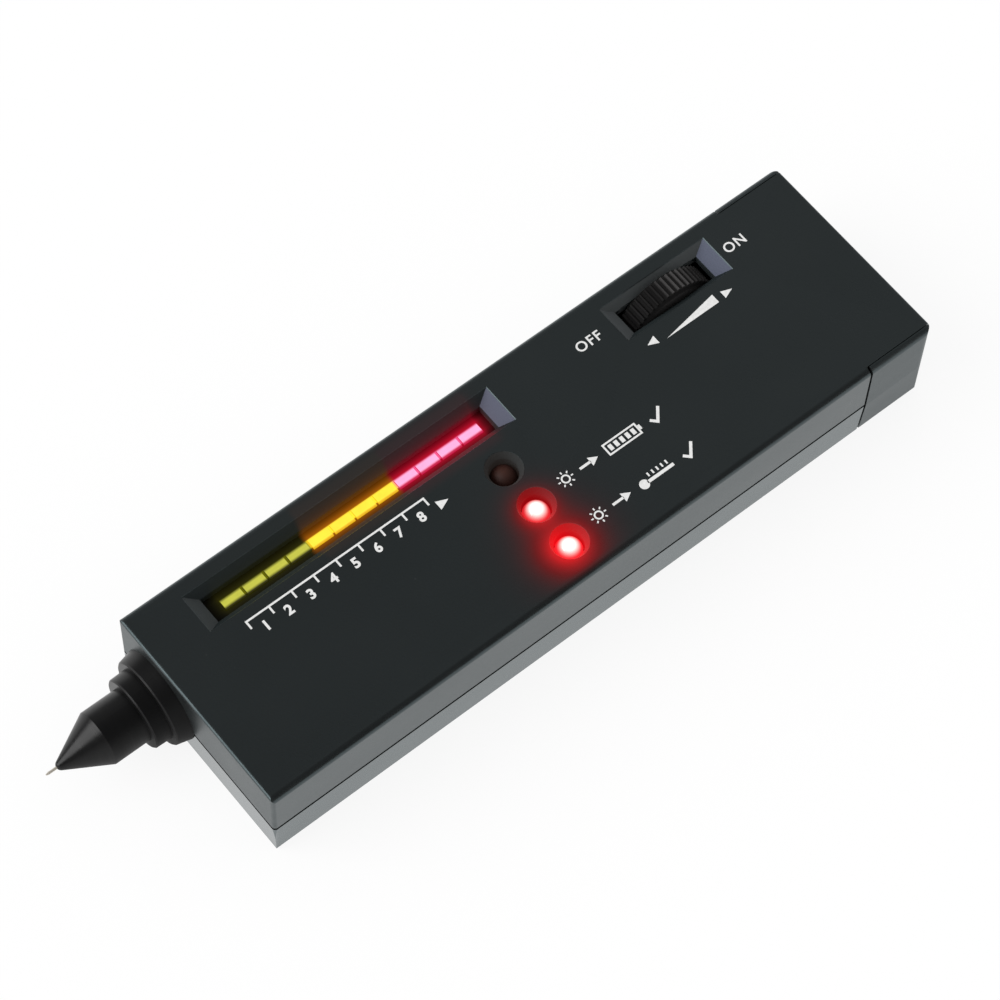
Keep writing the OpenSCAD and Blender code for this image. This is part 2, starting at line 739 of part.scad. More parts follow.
// Board with a tongue beside the battery that stops in front of the wheel and its control.
module main_board() {
    wheel_front = wheel_x - wheel_d / 2 - wheel_room;
    color([0.1, 0.32, 0.16]) difference() {
        union() {
            box([board_x0, board_x1], [-board_half, board_half], [board_z, board_top]);
            box([board_x1 - cut, wheel_front], [tongue_y0, board_half], [board_z, board_top]);
            box([board_x1 - cut, pot_front], [tongue_y0, wheel_y0 - wheel_room], [board_z, board_top]);
        }
        for (p = shell_screw_at)
            translate([p[0], p[1], board_z - cut])
                cylinder(d = boss_d + 4 * side_clear, h = board_t + 2 * cut);
        for (p = board_screw_at)
            translate([p[0], p[1], board_z - cut])
                cylinder(d = screw_d + 2 * side_clear, h = board_t + 2 * cut);
    }
}

// First lamp's place along the bar, and the place of lamp i.
function led_x(i) = slot_x + bar_back - bar_l / 2 + (i + 0.5) * led_pitch;

// Strip on the board that holds the bar's lamps; its flange closes the slot from below.
module bar_holder() {
    flange_t = rib_t;
    body_half = led_w / 2 + lip_t;
    flange_half = slot_w / 2 + pin_t;
    ends = [slot_x - slot_l / 2 - pin_t, slot_x + slot_l / 2 + pin_t];
    color([0.06, 0.06, 0.065]) difference() {
        union() {
            box([board_x0 + side_clear, ends[1]], [line_y - body_half, line_y + body_half],
                [board_top, holder_top]);
            box(ends, [line_y - flange_half, line_y + flange_half], [holder_top - flange_t, holder_top]);
        }
        for (i = [0:3 * leds_per_colour - 1])
            box([led_x(i) - led_l / 2 - push_clear, led_x(i) + led_l / 2 + push_clear],
                [line_y - led_w / 2 - push_clear, line_y + led_w / 2 + push_clear],
                [board_top - cut, holder_top + cut]);
    }
}

// One rectangular lamp on its two legs.
module bar_led() {
    translate([-led_l / 2, -led_w / 2, led_leg]) cube([led_l, led_w, led_h]);
    for (s = [-1, 1])
        translate([s * pin_pitch / 2, 0, led_leg / 2]) cube([pin_t, pin_t, led_leg], center = true);
}

module bar_leds(group) {
    for (i = [0:leds_per_colour - 1])
        translate([led_x(group * leds_per_colour + i), line_y, board_top]) bar_led();
}

module bar_leds_green() {
    color([0.72, 0.75, 0.12]) bar_leds(0);
}

module bar_leds_yellow() {
    color([1, 0.85, 0.1]) bar_leds(1);
}

module bar_leds_red() {
    color([1, 0.4, 0.55]) bar_leds(2);
}

// Round lamp on two legs, with a domed top and a wider foot.
module round_lamp(i) {
    dome_r = lamp_d / 2;
    translate([lamp_x, lamp_ys[i], board_top + lamp_leg]) {
        cylinder(d = lamp_foot_d, h = lamp_foot_t);
        cylinder(d = lamp_d, h = lamp_h - dome_r);
        translate([0, 0, lamp_h - dome_r]) sphere(dome_r);
        for (s = [-1, 1])
            translate([s * pin_pitch / 2, 0, -lamp_leg / 2]) cube([pin_t, pin_t, lamp_leg], center = true);
    }
}

module alert_lamp() {
    color([0.25, 0.03, 0.02]) round_lamp(0);
}

module battery_lamp() {
    color([0.95, 0.08, 0.06]) round_lamp(1);
}

module ready_lamp() {
    color([0.95, 0.08, 0.06]) round_lamp(2);
}

// Places a part of the probe: its own Z runs outwards along the probe's axis from the front wall.
module on_probe() {
    translate([front_x, probe_y, probe_z]) rotate([0, -90, 0]) children();
}

// Collar with two rims, the nearer one tapered, on a neck that passes through the wall.
module probe_collar() {
    bore = shank_d / 2 + push_clear;
    step = rim2_d / 2 + seat_clear;
    color([0.07, 0.07, 0.07]) on_probe() rotate_extrude() polygon([
        [bore, -neck_l], [neck_d / 2, -neck_l], [neck_d / 2, 0], [collar_d / 2, 0],
        [rim1_d / 2, rim1_out - rim_round], [rim1_d / 2 - rim_round, rim1_out], [step, rim1_out],
        [rim2_d / 2, rim2_at - rim_round], [rim2_d / 2 - rim_round, rim2_at], [bore, rim2_at]
    ]);
}

module probe_nut() {
    color([0.6, 0.56, 0.42]) on_probe() translate([0, 0, -side_t - nut_t]) difference() {
        rotate(30) cylinder(d = nut_flats / cos(30), h = nut_t, $fn = 6);
        translate([0, 0, -cut]) cylinder(d = neck_d + 2 * push_clear, h = nut_t + 2 * cut);
    }
}

// Barrel and cone; the cone meets its round tip smoothly.
module probe_nose() {
    tip_mid = tip_at - cone_tip_r;
    reach = norm([tip_mid - cone_at, barrel_d / 2]);
    touch = 180 - atan2(barrel_d / 2, tip_mid - cone_at) - acos(cone_tip_r / reach);
    touch_at = tip_mid + cone_tip_r * cos(touch);
    touch_r = cone_tip_r * sin(touch);
    stop = carrier_front + seat_clear;
    color([0.06, 0.06, 0.06]) on_probe() difference() {
        union() {
            translate([0, 0, -neck_l]) cylinder(d = shank_d, h = neck_l + cone_at);
            translate([0, 0, rim2_at]) cylinder(d = barrel_d, h = barrel_l);
            translate([0, 0, cone_at]) cylinder(r1 = barrel_d / 2, r2 = touch_r, h = touch_at - cone_at);
            translate([0, 0, tip_mid]) sphere(cone_tip_r);
        }
        translate([0, 0, -neck_l - cut]) cylinder(d = chamber_d, h = neck_l + cut + stop);
        cylinder(d = heater_d + 4 * side_clear, h = heater_front + 2 * battery_clear);
        cylinder(d = needle_d + 2 * run_clear, h = tip_at + cut);
    }
}

// Plug at the rear of the chamber, with a bore for the carrier's stem.
module probe_guide() {
    color([0.75, 0.72, 0.66]) on_probe() translate([0, 0, -neck_l]) difference() {
        cylinder(d = chamber_d - 2 * push_clear, h = guide_t);
        translate([0, 0, -cut]) cylinder(d = stem_d + 2 * run_clear, h = guide_t + 2 * cut);
    }
}

// Ring of points round p, square to the direction t, with a side turned towards the direction across.
function ring(p, t, across, r, sides) =
    let (u = cross(t, across) / norm(cross(t, across)), v = cross(u, t) / norm(t))
    [for (k = [0:sides - 1]) p + r * (cos(360 * k / sides) * u + sin(360 * k / sides) * v)];

// Tube of round section along points with given directions.
module tube(path, way, across, r, sides) {
    rings = len(path);
    points = [for (i = [0:rings - 1]) each ring(path[i], way[i], across, r, sides)];
    walls = [
        for (i = [0:rings - 2], k = [0:sides - 1])
            let (a = i * sides + k, b = i * sides + (k + 1) % sides)
            each [[a, a + sides, b], [b, a + sides, b + sides]]
    ];
    last = (rings - 1) * sides;
    ends = [for (k = [1:sides - 2]) each [[0, k, k + 1], [last, last + k + 1, last + k]]];
    polyhedron(points, concat(walls, ends));
}

spring_steps = 8;
spring_r = spring_d / 2;
spring_pitch = (spring_len - spring_wire) / spring_turns;
spring_angles = [for (i = [0:spring_turns * spring_steps]) 360 * i / spring_steps];
spring_path = [for (a = spring_angles) [spring_r * cos(a), spring_r * sin(a), spring_pitch * a / 360]];
spring_rise = spring_pitch / (2 * PI);
spring_way = [for (a = spring_angles) [-spring_r * sin(a), spring_r * cos(a), spring_rise]];

// Return spring behind the carrier, as one unbroken coil.
module probe_spring() {
    turn_gaps = [
        for (i = [0:len(spring_path) - 1 - spring_steps])
            norm(spring_path[i + spring_steps] - spring_path[i]) - spring_wire
    ];
    echo(least_spring_gap = min(turn_gaps));
    color([0.7, 0.7, 0.72]) on_probe()
        translate([0, 0, guide_front + seat_clear + spring_wire / 2])
            tube(spring_path, spring_way, [0, 0, 1], spring_wire / 2, 6);
}

// Smooth lead in an upright plane: it leaves along start_way, and comes down onto the board.
lead_steps = 12;
function bend(p, s) =
    pow(1 - s, 3) * p[0] + 3 * s * pow(1 - s, 2) * p[1] + 3 * s * s * (1 - s) * p[2] + pow(s, 3) * p[3];
function bend_way(p, s) =
    pow(1 - s, 2) * (p[1] - p[0]) + 2 * s * (1 - s) * (p[2] - p[1]) + s * s * (p[3] - p[2]);

module lead(from, start_way, pad_x, d) {
    pad = [pad_x, from[1], board_top];
    p = [from, from + start_way, pad + [0, 0, wire_bend], pad];
    path = [for (i = [0:lead_steps]) bend(p, i / lead_steps)];
    way = [for (i = [0:lead_steps]) bend_way(p, i / lead_steps)];
    tube(path, way, [0, 1, 0], d / 2, 8);
}

module probe_leads() {
    start_x = front_x + neck_l;
    ring_r = (stem_d + chamber_d) / 4;
    starts = [for (a = [30, 70]) [start_x, probe_y - ring_r * cos(a), probe_z + ring_r * sin(a)]];
    color([0.85, 0.85, 0.82])
        for (i = [0, 1])
            lead(starts[i], [wire_bend, 0, 0], board_x0 + (i + 1) * wire_in, fine_lead_d);
}

module red_lead() {
    from = [snap_front, plus_y - wire_bend, battery_mid_z + 2];
    color([0.75, 0.08, 0.06]) lead(from, [-wire_bend, 0, 0], board_x1 - wire_in, lead_d);
}

module black_lead() {
    from = [snap_front, minus_y + wire_bend, battery_mid_z + 2];
    color([0.05, 0.05, 0.05]) lead(from, [-wire_bend, 0, 0], board_x1 - wire_in, lead_d);
}

// Control with a switch; its shaft turns in the bore of the case.
module pot_case() {
    color([0.45, 0.44, 0.42]) translate([wheel_x, pot_y0, wheel_z]) difference() {
        rod_y(pot_d, pot_depth);
        translate([0, pot_back, 0]) rod_y(shaft_d + 2 * run_clear, pot_depth);
    }
}

module pot_terminals() {
    strip = (wheel_y0 - wheel_room - tongue_y0) / 3;
    color([0.78, 0.76, 0.7]) difference() {
        for (i = [0:2])
            translate([0, tongue_y0 + (i + 0.5) * strip, board_top])
                box([pot_front - tag_l, wheel_x], [-pin_t / 2, pin_t / 2], [0, pin_t]);
        translate([wheel_x, pot_y0 - cut, wheel_z]) rod_y(pot_d + 2 * push_clear, pot_depth + 2 * cut);
        box([wheel_x - pot_d / 4, wheel_x + cut], [0, body_w], [0, body_h]);
    }
}

// Sounder with a hole in its top.
module buzzer() {
    color([0.08, 0.08, 0.08]) translate([buzzer_at[0], buzzer_at[1], board_top]) difference() {
        cylinder(d = buzzer_d, h = buzzer_h);
        translate([0, 0, buzzer_t]) cylinder(d = buzzer_d - 2 * buzzer_t, h = buzzer_h - 2 * buzzer_t);
        translate([0, 0, buzzer_t]) cylinder(d = buzzer_hole_d, h = buzzer_h);
    }
}

// Chip in a two-row case with a half-round mark at one end.
module chip(pins) {
    row = pins / 2;
    l = row * pin_pitch + 2 * pin_t;
    difference() {
        translate([-l / 2, -chip_w / 2, chip_lift]) cube([l, chip_w, chip_h]);
        translate([-l / 2, 0, chip_lift + chip_h - pin_t]) cylinder(d = chip_w / 4, h = cut);
    }
    pin_l = chip_lift + chip_h / 2;
    for (i = [0:row - 1], s = [-1, 1])
        translate([(i - (row - 1) / 2) * pin_pitch, s * (chip_w / 2 + pin_t / 2), pin_l / 2])
            cube([pin_t, pin_t, pin_l], center = true);
}

module chips() {
    color([0.1, 0.1, 0.1])
        for (i = [0, 1])
            translate([chip_at[i][0], chip_at[i][1], board_top]) chip(chip_pins[i]);
}

// Upright can capacitor with a drawn-in waist and a pressure mark on its top.
module can_capacitor() {
    difference() {
        cylinder(d = cap_d, h = cap_h);
        translate([0, 0, cap_d / 4]) rotate_extrude() translate([cap_d / 2 + pin_t / 2, 0]) circle(pin_t);
        for (a = [0, 60, 120])
            translate([0, 0, cap_h]) rotate(a) cube([cap_d * 0.7, pin_t / 2, pin_t], center = true);
    }
}

module capacitors() {
    color([0.12, 0.14, 0.3])
        for (p = capacitor_at)
            translate([p[0], p[1], board_top]) can_capacitor();
}

// Preset with a slotted round adjuster.
module trimmers() {
    color([0.14, 0.28, 0.6])
        for (p = trimmer_at)
            translate([p[0], p[1], board_top]) difference() {
                union() {
                    translate([-trimmer_s / 2, -trimmer_s / 2, 0]) cube([trimmer_s, trimmer_s, trimmer_h]);
                    cylinder(d = trimmer_s * 0.6, h = trimmer_h + trimmer_knob_h);
                }
                translate([0, 0, trimmer_h + trimmer_knob_h])
                    cube([trimmer_s * 0.5, pin_t, trimmer_knob_h], center = true);
            }
}

// Resistor lying just above the board on its two bent legs.
module resistor() {
    mid = resistor_lift + resistor_d / 2;
    reach = resistor_l / 2 + resistor_leg;
    leg_l = resistor_leg + pin_t / 2;
    translate([-resistor_l / 2, 0, mid]) rod_x(resistor_d, resistor_l);
    for (s = [-1, 1])
        translate([s * reach, 0, 0]) {
            cylinder(d = pin_t, h = mid);
            translate([s > 0 ? -leg_l : 0, 0, mid - pin_t / 2]) rod_x(pin_t, leg_l);
        }
}

module resistors() {
    color([0.75, 0.62, 0.42])
        for (p = resistor_at)
            translate([p[0], p[1], board_top]) resistor();
}

// Small three-legged part with one flat side.
module transistor() {
    difference() {
        translate([0, 0, transistor_lift]) cylinder(d = transistor_d, h = transistor_h);
        translate([transistor_d * 0.3, -transistor_d, 0])
            cube([transistor_d, 2 * transistor_d, 2 * transistor_h]);
    }
    for (i = [-1:1])
        translate([0, i * transistor_leg, transistor_lift / 2])
            cube([pin_t, pin_t, transistor_lift], center = true);
}

module transistors() {
    color([0.09, 0.09, 0.09])
        for (p = transistor_at)
            translate([p[0], p[1], board_top]) transistor();
}

module battery_case() {
    color([0.55, 0.55, 0.57]) translate([battery_front, battery_mid_y, battery_mid_z])
        along_x(battery_l) round_rect(battery_w, battery_h, battery_edge_r);
}

module battery_plus() {
    color([0.82, 0.82, 0.84]) translate([terminal_x, plus_y, battery_mid_z]) rod_x(stud_d, terminal_h);
}

// Cup with a slotted wall, drawn in a little at its mouth.
module battery_minus() {
    outer = socket_d;
    color([0.82, 0.82, 0.84]) translate([terminal_x, minus_y, battery_mid_z]) difference() {
        rod_x(outer, terminal_h);
        translate([-cut, 0, 0]) rod_x(outer - 2 * contact_t, terminal_h + cut - contact_t / 2);
        for (a = [0, 60, 120])
            rotate([a, 0, 0]) translate([-cut, -contact_t / 2, -outer])
                cube([terminal_h * 0.7 + cut, contact_t, 2 * outer]);
    }
}

module snap_cover() {
    l = terminal_pitch + socket_d + 4;
    w = socket_d + 4;
    color([0.07, 0.07, 0.07]) translate([snap_front, battery_mid_y, battery_mid_z])
        along_x(snap_t) round_rect(l, w, w * 0.35);
}

// Cup of the snap connector that takes the battery's round terminal.
module snap_socket() {
    color([0.8, 0.8, 0.8]) translate([snap_rear, plus_y, battery_mid_z]) difference() {
        rod_x(socket_d, contact_l);
        translate([battery_clear / 2, 0, 0]) rod_x(socket_d - 2 * contact_t, contact_l);
    }
}

// Stud of the snap connector that goes into the battery's slotted terminal.
module snap_stud() {
    color([0.8, 0.8, 0.8]) translate([snap_rear, minus_y, battery_mid_z]) rod_x(stud_d, contact_l);
}

// Wheel with a grooved rim between two smooth shoulders, on a hub with a recess for its screw.
module thumbwheel() {
    root_d = wheel_d - 2 * tooth_h;
    band_w = wheel_w - 2 * wheel_chamfer;
    step = 360 / teeth;
    tooth_turns = [0, 0.22, 0.36, 0.86];
    tooth_rs = [wheel_d / 2, wheel_d / 2, root_d / 2, root_d / 2];
    color([0.07, 0.07, 0.07]) translate([wheel_x, wheel_y0, wheel_z]) difference() {
        union() {
            translate([0, wheel_chamfer, 0]) rotate([-90, 0, 0]) linear_extrude(band_w)
                polygon([
                    for (i = [0:teeth - 1], k = [0:3])
                        tooth_rs[k] * [cos((i + tooth_turns[k]) * step), sin((i + tooth_turns[k]) * step)]
                ]);
            for (s = [0, 1])
                translate([0, s * wheel_w, 0]) rotate([s > 0 ? 90 : -90, 0, 0])
                    cylinder(d1 = root_d - 2 * wheel_chamfer, d2 = root_d, h = wheel_chamfer);
        }
        translate([0, -cut, 0]) rod_y(shaft_d + 2 * push_clear, wheel_w + 2 * cut);
        translate([0, wheel_w - hub_recess, 0]) rod_y(hub_recess_d, hub_recess + cut);
    }
}

module pot_shaft() {
    start = pot_y0 + pot_back + battery_clear;
    l = wheel_y1 - hub_recess - start;
    pilot_l = wheel_screw_l + battery_clear;
    color([0.7, 0.7, 0.68]) translate([wheel_x, start, wheel_z]) difference() {
        rod_y(shaft_d, l);
        translate([0, l - pilot_l, 0]) rod_y(wheel_screw_d + 2 * push_clear, pilot_l + cut);
    }
}

module wheel_screw() {
    head_d = shaft_d + wheel_screw_d;
    head_h = hub_recess - pin_t;
    color([0.66, 0.66, 0.68]) translate([wheel_x, wheel_y1 - hub_recess, wheel_z]) difference() {
        union() {
            rod_y(head_d, head_h);
            translate([0, -wheel_screw_l, 0]) rod_y(wheel_screw_d, wheel_screw_l);
        }
        translate([0, head_h, 0]) cube([head_d * 0.7, head_h, pin_t], center = true);
    }
}

// Needle with a blunt point.
module probe_needle() {
    point_l = needle_d;
    color([0.8, 0.72, 0.6]) on_probe() {
        translate([0, 0, heater_front]) cylinder(d = needle_d, h = needle_tip - heater_front - point_l);
        translate([0, 0, needle_tip - point_l]) cylinder(d1 = needle_d, d2 = needle_d * 0.5, h = point_l);
    }
}

module heater() {
    color([0.6, 0.5, 0.35]) on_probe()
        translate([0, 0, carrier_front]) cylinder(d = heater_d, h = heater_l);
}

// Slider behind the heater, with a stem that runs through the spring and the guide.
module needle_carrier() {
    color([0.8, 0.78, 0.72]) on_probe() {
        translate([0, 0, carrier_rear]) cylinder(d = chamber_d - 2 * run_clear, h = carrier_l);
        translate([0, 0, stem_end]) cylinder(d = stem_d, h = carrier_rear - stem_end);
    }
}

// Cap with a floor, two sides with round top edges and an end wall; the roof runs on above it.
module battery_door() {
    arrow_x = door_x + (door_l - arrow_l) / 2;
    arrow_y = (grip_l / 2 + inner_half) / 2;
    grip_pitch = (door_l - 2 * side_t) / (grip_count + 1);
    color([0.15, 0.15, 0.155]) difference() {
        union() {
            difference() {
                housing_form();
                box([front_x - cut, door_x + door_gap], [-body_w, body_w], [-cut, body_h + cut]);
                box([front_x, rear_x - side_t], [-inner_half, inner_half], [door_floor, body_h + cut]);
                box([front_x, rear_x + cut], [-roof_half - side_clear, roof_half + side_clear],
                    [roof_z - side_clear, body_h + cut]);
            }
            for (s = [-1, 1])
                translate([0, s * (inner_half + lip_t / 2), 0])
                    box([door_x - tongue_l, door_x + door_gap + cut], [-lip_t / 2, lip_t / 2],
                        [tongue_z0, tongue_z0 + tongue_h]);
        }
        for (i = [1:grip_count])
            translate([door_x + side_t + i * grip_pitch, 0, 0])
                box([-grip_w / 2, grip_w / 2], [-grip_l / 2, grip_l / 2], [-cut, grip_depth]);
        for (s = [-1, 1])
            translate([arrow_x, s * arrow_y, -cut]) linear_extrude(grip_depth + cut)
                polygon([[0, -arrow_l / 2], [arrow_l, 0], [0, arrow_l / 2]]);
    }
}

module door_pad() {
    color([0.2, 0.2, 0.22])
        translate([rear_x - side_t - pad_t, battery_mid_y, battery_mid_z])
            box([0, pad_t], battery_w * [-0.35, 0.35], battery_h * [-0.3, 0.3]);
}

top_shell();
bottom_shell();
shell_screws();
main_board();
board_screws();
bar_holder();
bar_leds_green();
bar_leds_yellow();
bar_leds_red();
alert_lamp();
battery_lamp();
ready_lamp();
probe_collar();
probe_nut();
probe_nose();
probe_guide();
probe_spring();
probe_leads();
pot_case();
pot_terminals();
buzzer();
chips();
capacitors();
trimmers();
resistors();
transistors();
battery_case();
battery_plus();
battery_minus();
snap_cover();
snap_socket();
snap_stud();
red_lead();
black_lead();
thumbwheel();
pot_shaft();
wheel_screw();
probe_needle();
heater();
needle_carrier();
battery_door();
door_pad();
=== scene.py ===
"""Studio picture of a hand-held gemstone tester.

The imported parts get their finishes. The housing also gets its printed marks, the door its foam and the
needle its spring, and a floor, soft light and a camera are set up round them. Lengths in the classes are
millimetres in the part's own frame, whose length lies along X, width along Y and height along Z. Meshes are
in metres.
"""

import logging
from abc import ABC, abstractmethod
from collections.abc import Mapping, Sequence
from dataclasses import dataclass
from enum import Enum
from functools import cached_property

import bpy
import numpy as np
from mathutils import Matrix, Vector


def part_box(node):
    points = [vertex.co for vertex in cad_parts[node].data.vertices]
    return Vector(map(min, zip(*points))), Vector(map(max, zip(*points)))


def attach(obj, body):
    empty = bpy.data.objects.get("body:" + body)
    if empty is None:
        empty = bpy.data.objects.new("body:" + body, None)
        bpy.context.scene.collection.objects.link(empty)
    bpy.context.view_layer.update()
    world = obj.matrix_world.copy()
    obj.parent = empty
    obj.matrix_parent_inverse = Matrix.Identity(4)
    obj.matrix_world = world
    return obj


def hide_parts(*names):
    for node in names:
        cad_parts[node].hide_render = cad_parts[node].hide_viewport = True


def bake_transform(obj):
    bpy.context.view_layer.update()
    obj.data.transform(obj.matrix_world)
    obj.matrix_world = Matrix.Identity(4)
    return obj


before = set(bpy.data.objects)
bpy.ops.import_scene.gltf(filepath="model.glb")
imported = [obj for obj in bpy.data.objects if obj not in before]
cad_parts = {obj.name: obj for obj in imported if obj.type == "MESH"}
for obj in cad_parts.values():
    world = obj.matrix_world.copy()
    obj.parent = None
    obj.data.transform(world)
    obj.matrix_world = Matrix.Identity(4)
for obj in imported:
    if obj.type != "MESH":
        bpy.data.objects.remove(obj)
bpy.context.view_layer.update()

LOG = logging.getLogger("gemstone_tester")
MM = 0.001

Triple = tuple[float, float, float]
Colour = Triple
Point = tuple[float, float]
Path = Sequence[Point] | np.ndarray

BLACK: Colour = (0.0, 0.0, 0.0)
WHITE: Colour = (1.0, 1.0, 1.0)
EVEN: Triple = (1.0, 1.0, 1.0)
STREAKED: Triple = (0.3, 1.0, 1.0)


class Body(Enum):
    """The groups of pieces that added pieces move with."""

    HOUSING = "housing"
    NEEDLE = "needle"
    DOOR = "door"


class Axis(Enum):
    """The part's own directions, as the number of a coordinate."""

    LENGTH = 0
    WIDTH = 1
    HEIGHT = 2


class Report(Enum):
    """What a lit lamp reports, as the name of the signs printed beside it."""

    BATTERY = "battery_signs"
    HEAT = "ready_signs"


class Value:
    """A number in a shader: arithmetic on it adds Math nodes."""

    def __init__(self, recipe: "Recipe", socket: bpy.types.NodeSocket) -> None:
        """Keeps the socket and the recipe that it belongs to."""
        self.recipe = recipe
        self.socket = socket

    def math(self, operation: str, *terms: "Value | float") -> "Value":
        """Adds one Math node.

        Args:
            operation: Blender's name of the operation.
            terms: the operands in their order.

        Returns:
            The node's result.
        """
        node = self.recipe.add("ShaderNodeMath", {"operation": operation}, dict(enumerate(terms)))
        return Value(self.recipe, node.outputs[0])

    def __add__(self, other: "Value | float") -> "Value":
        """Sum."""
        return self.math("ADD", self, other)

    def __radd__(self, other: float) -> "Value":
        """Sum with a number on the left."""
        return self.math("ADD", other, self)

    def __sub__(self, other: "Value | float") -> "Value":
        """Difference."""
        return self.math("SUBTRACT", self, other)

    def __rsub__(self, other: float) -> "Value":
        """Difference from a number on the left."""
        return self.math("SUBTRACT", other, self)

    def __mul__(self, other: "Value | float") -> "Value":
        """Product."""
        return self.math("MULTIPLY", self, other)

    def __rmul__(self, other: float) -> "Value":
        """Product with a number on the left."""
        return self.math("MULTIPLY", other, self)

    def __truediv__(self, other: "Value | float") -> "Value":
        """Quotient."""
        return self.math("DIVIDE", self, other)

    def __rtruediv__(self, other: float) -> "Value":
        """Quotient with a number on the left."""
        return self.math("DIVIDE", other, self)

    def __mod__(self, other: "Value | float") -> "Value":
        """Remainder that is never negative."""
        return self.math("FLOORED_MODULO", self, other)

    def __rmod__(self, other: float) -> "Value":
        """Remainder of a number on the left."""
        return self.math("FLOORED_MODULO", other, self)

    def __gt__(self, other: "Value | float") -> "Value":
        """One where the value is larger, and nought elsewhere."""
        return self.math("GREATER_THAN", self, other)

    def __lt__(self, other: "Value | float") -> "Value":
        """One where the value is smaller, and nought elsewhere."""
        return self.math("LESS_THAN", self, other)

    def __abs__(self) -> "Value":
        """Size without its sign."""
        return self.math("ABSOLUTE", self)

    def least(self, other: "Value | float") -> "Value":
        """The smaller of the two."""
        return self.math("MINIMUM", self, other)

    def most(self, other: "Value | float") -> "Value":
        """The larger of the two."""
        return self.math("MAXIMUM", self, other)

    def root(self) -> "Value":
        """Square root."""
        return self.math("SQRT", self)

    def drop(self, reach: float) -> "Value":
        """Natural decay of a distance: one at nought, and about a third at the reach."""
        return self.math("EXPONENT", self / -reach)

    def swing(self, amount: float) -> "Value":
        """Noise that goes to both sides of nought, over the amount in all."""
        return amount * (self - 0.5)

    def rise(self, low: float, high: float) -> "Value":
        """Climbs smoothly from nought to one.

        Args:
            low: where it leaves nought.
            high: where it reaches one.

        Returns:
            The climb.
        """
        sockets = {"Value": self, "From Min": low, "From Max": high}
        node = self.recipe.add("ShaderNodeMapRange", {"interpolation_type": "SMOOTHSTEP"}, sockets)
        return Value(self.recipe, node.outputs["Result"])

    def fall(self, low: float, high: float) -> "Value":
        """Drops smoothly from one at low to nought at high."""
        return 1.0 - self.rise(low, high)


Socket = Value | bpy.types.NodeSocket | float | Colour
Light = tuple[Colour, Value]


class Recipe:
    """The node tree of a material or of the world, with its coordinates in millimetres."""

    def __init__(self, tree: bpy.types.NodeTree) -> None:
        """Keeps the tree that nodes are added to."""
        self.tree = tree

    def add(self, kind: str, settings: Mapping[str, object] | None = None,
            sockets: Mapping[str | int, Socket] | None = None) -> bpy.types.Node:
        """Adds one node.

        Args:
            kind: Blender's type name of the node.
            settings: the node's own properties, set first.
            sockets: values or links of the input sockets, by name or number.

        Returns:
            The new node.
        """
        node = self.tree.nodes.new(kind)
        for key, value in (settings or {}).items():
            setattr(node, key, value)
        for key, value in (sockets or {}).items():
            self.feed(node.inputs[key], value)
        return node

    def feed(self, socket: bpy.types.NodeSocket, value: Socket) -> None:
        """Links a socket, or sets its own value.

        Args:
            socket: the input.
            value: what goes into it: another node's output, a number or a colour.
        """
        if isinstance(value, Value):
            value = value.socket
        if isinstance(value, bpy.types.NodeSocket):
            self.tree.links.new(value, socket)
        elif socket.type == "RGBA" and len(value) == 3:
            socket.default_value = (*value, 1.0)
        else:
            socket.default_value = value

    @cached_property
    def place(self) -> bpy.types.NodeSocket:
        """Object coordinates in millimetres."""
        coordinates = self.add("ShaderNodeTexCoord").outputs["Object"]
        return self.vector("SCALE", {0: coordinates, "Scale": 1 / MM})

    @cached_property
    def xyz(self) -> tuple[Value, Value, Value]:
        """The three coordinates in millimetres."""
        node = self.add("ShaderNodeSeparateXYZ", None, {0: self.place})
        return tuple(Value(self, socket) for socket in node.outputs)

    def vector(self, operation: str, sockets: Mapping[str | int, Socket]) -> bpy.types.NodeSocket:
        """Adds one Vector Math node and gives its result."""
        return self.add("ShaderNodeVectorMath", {"operation": operation}, sockets).outputs[0]

    def noise(self, size: float, detail: float = 2.0, stretch: Triple = EVEN) -> Value:
        """Cloudy noise between nought and one.

        Args:
            size: distance between clouds in millimetres.
            detail: how many finer layers lie on it.
            stretch: factor in each direction; a small one draws the clouds out.

        Returns:
            The noise.
        """
        place = self.vector("MULTIPLY", {0: self.place, 1: stretch})
        sockets = {"Vector": place, "Scale": 1.0 / size, "Detail": detail}
        return Value(self, self.add("ShaderNodeTexNoise", {"noise_dimensions": "3D"}, sockets).outputs[0])

    def flecks(self, size: float) -> Value:
        """Distance to the nearest of scattered points, in parts of their spacing."""
        node = self.add("ShaderNodeTexVoronoi", None, {"Vector": self.place, "Scale": 1.0 / size})
        return Value(self, node.outputs["Distance"])

    def radius(self, axis: Axis, centre: Point) -> Value:
        """Distance from a line.

        Args:
            axis: direction of the line.
            centre: where the line crosses the other two coordinates, in their order.

        Returns:
            The distance in millimetres.
        """
        across = [value for number, value in enumerate(self.xyz) if number != axis.value]
        first, second = across[0] - centre[0], across[1] - centre[1]
        return (first * first + second * second).root()

    def mix(self, factor: Socket, below: Socket, above: Socket) -> bpy.types.NodeSocket:
        """Lays one colour over another.

        Args:
            factor: how much of the upper one shows.
            below: the lower colour.
            above: the upper colour.

        Returns:
            The mixed colour.
        """
        # A Mix node's sockets for colours come after those for numbers and vectors.
        return self.add("ShaderNodeMix", {"data_type": "RGBA"}, {0: factor, 6: below, 7: above}).outputs[2]

    def glow(self, lights: Sequence[Light]) -> bpy.types.NodeSocket:
        """Adds up light.

        Args:
            lights: each colour with how strong it is.

        Returns:
            The sum.
        """
        parts = [self.vector("SCALE", {0: colour, "Scale": amount}) for colour, amount in lights]
        total = parts[0]
        for part in parts[1:]:
            total = self.vector("ADD", {0: total, 1: part})
        return total


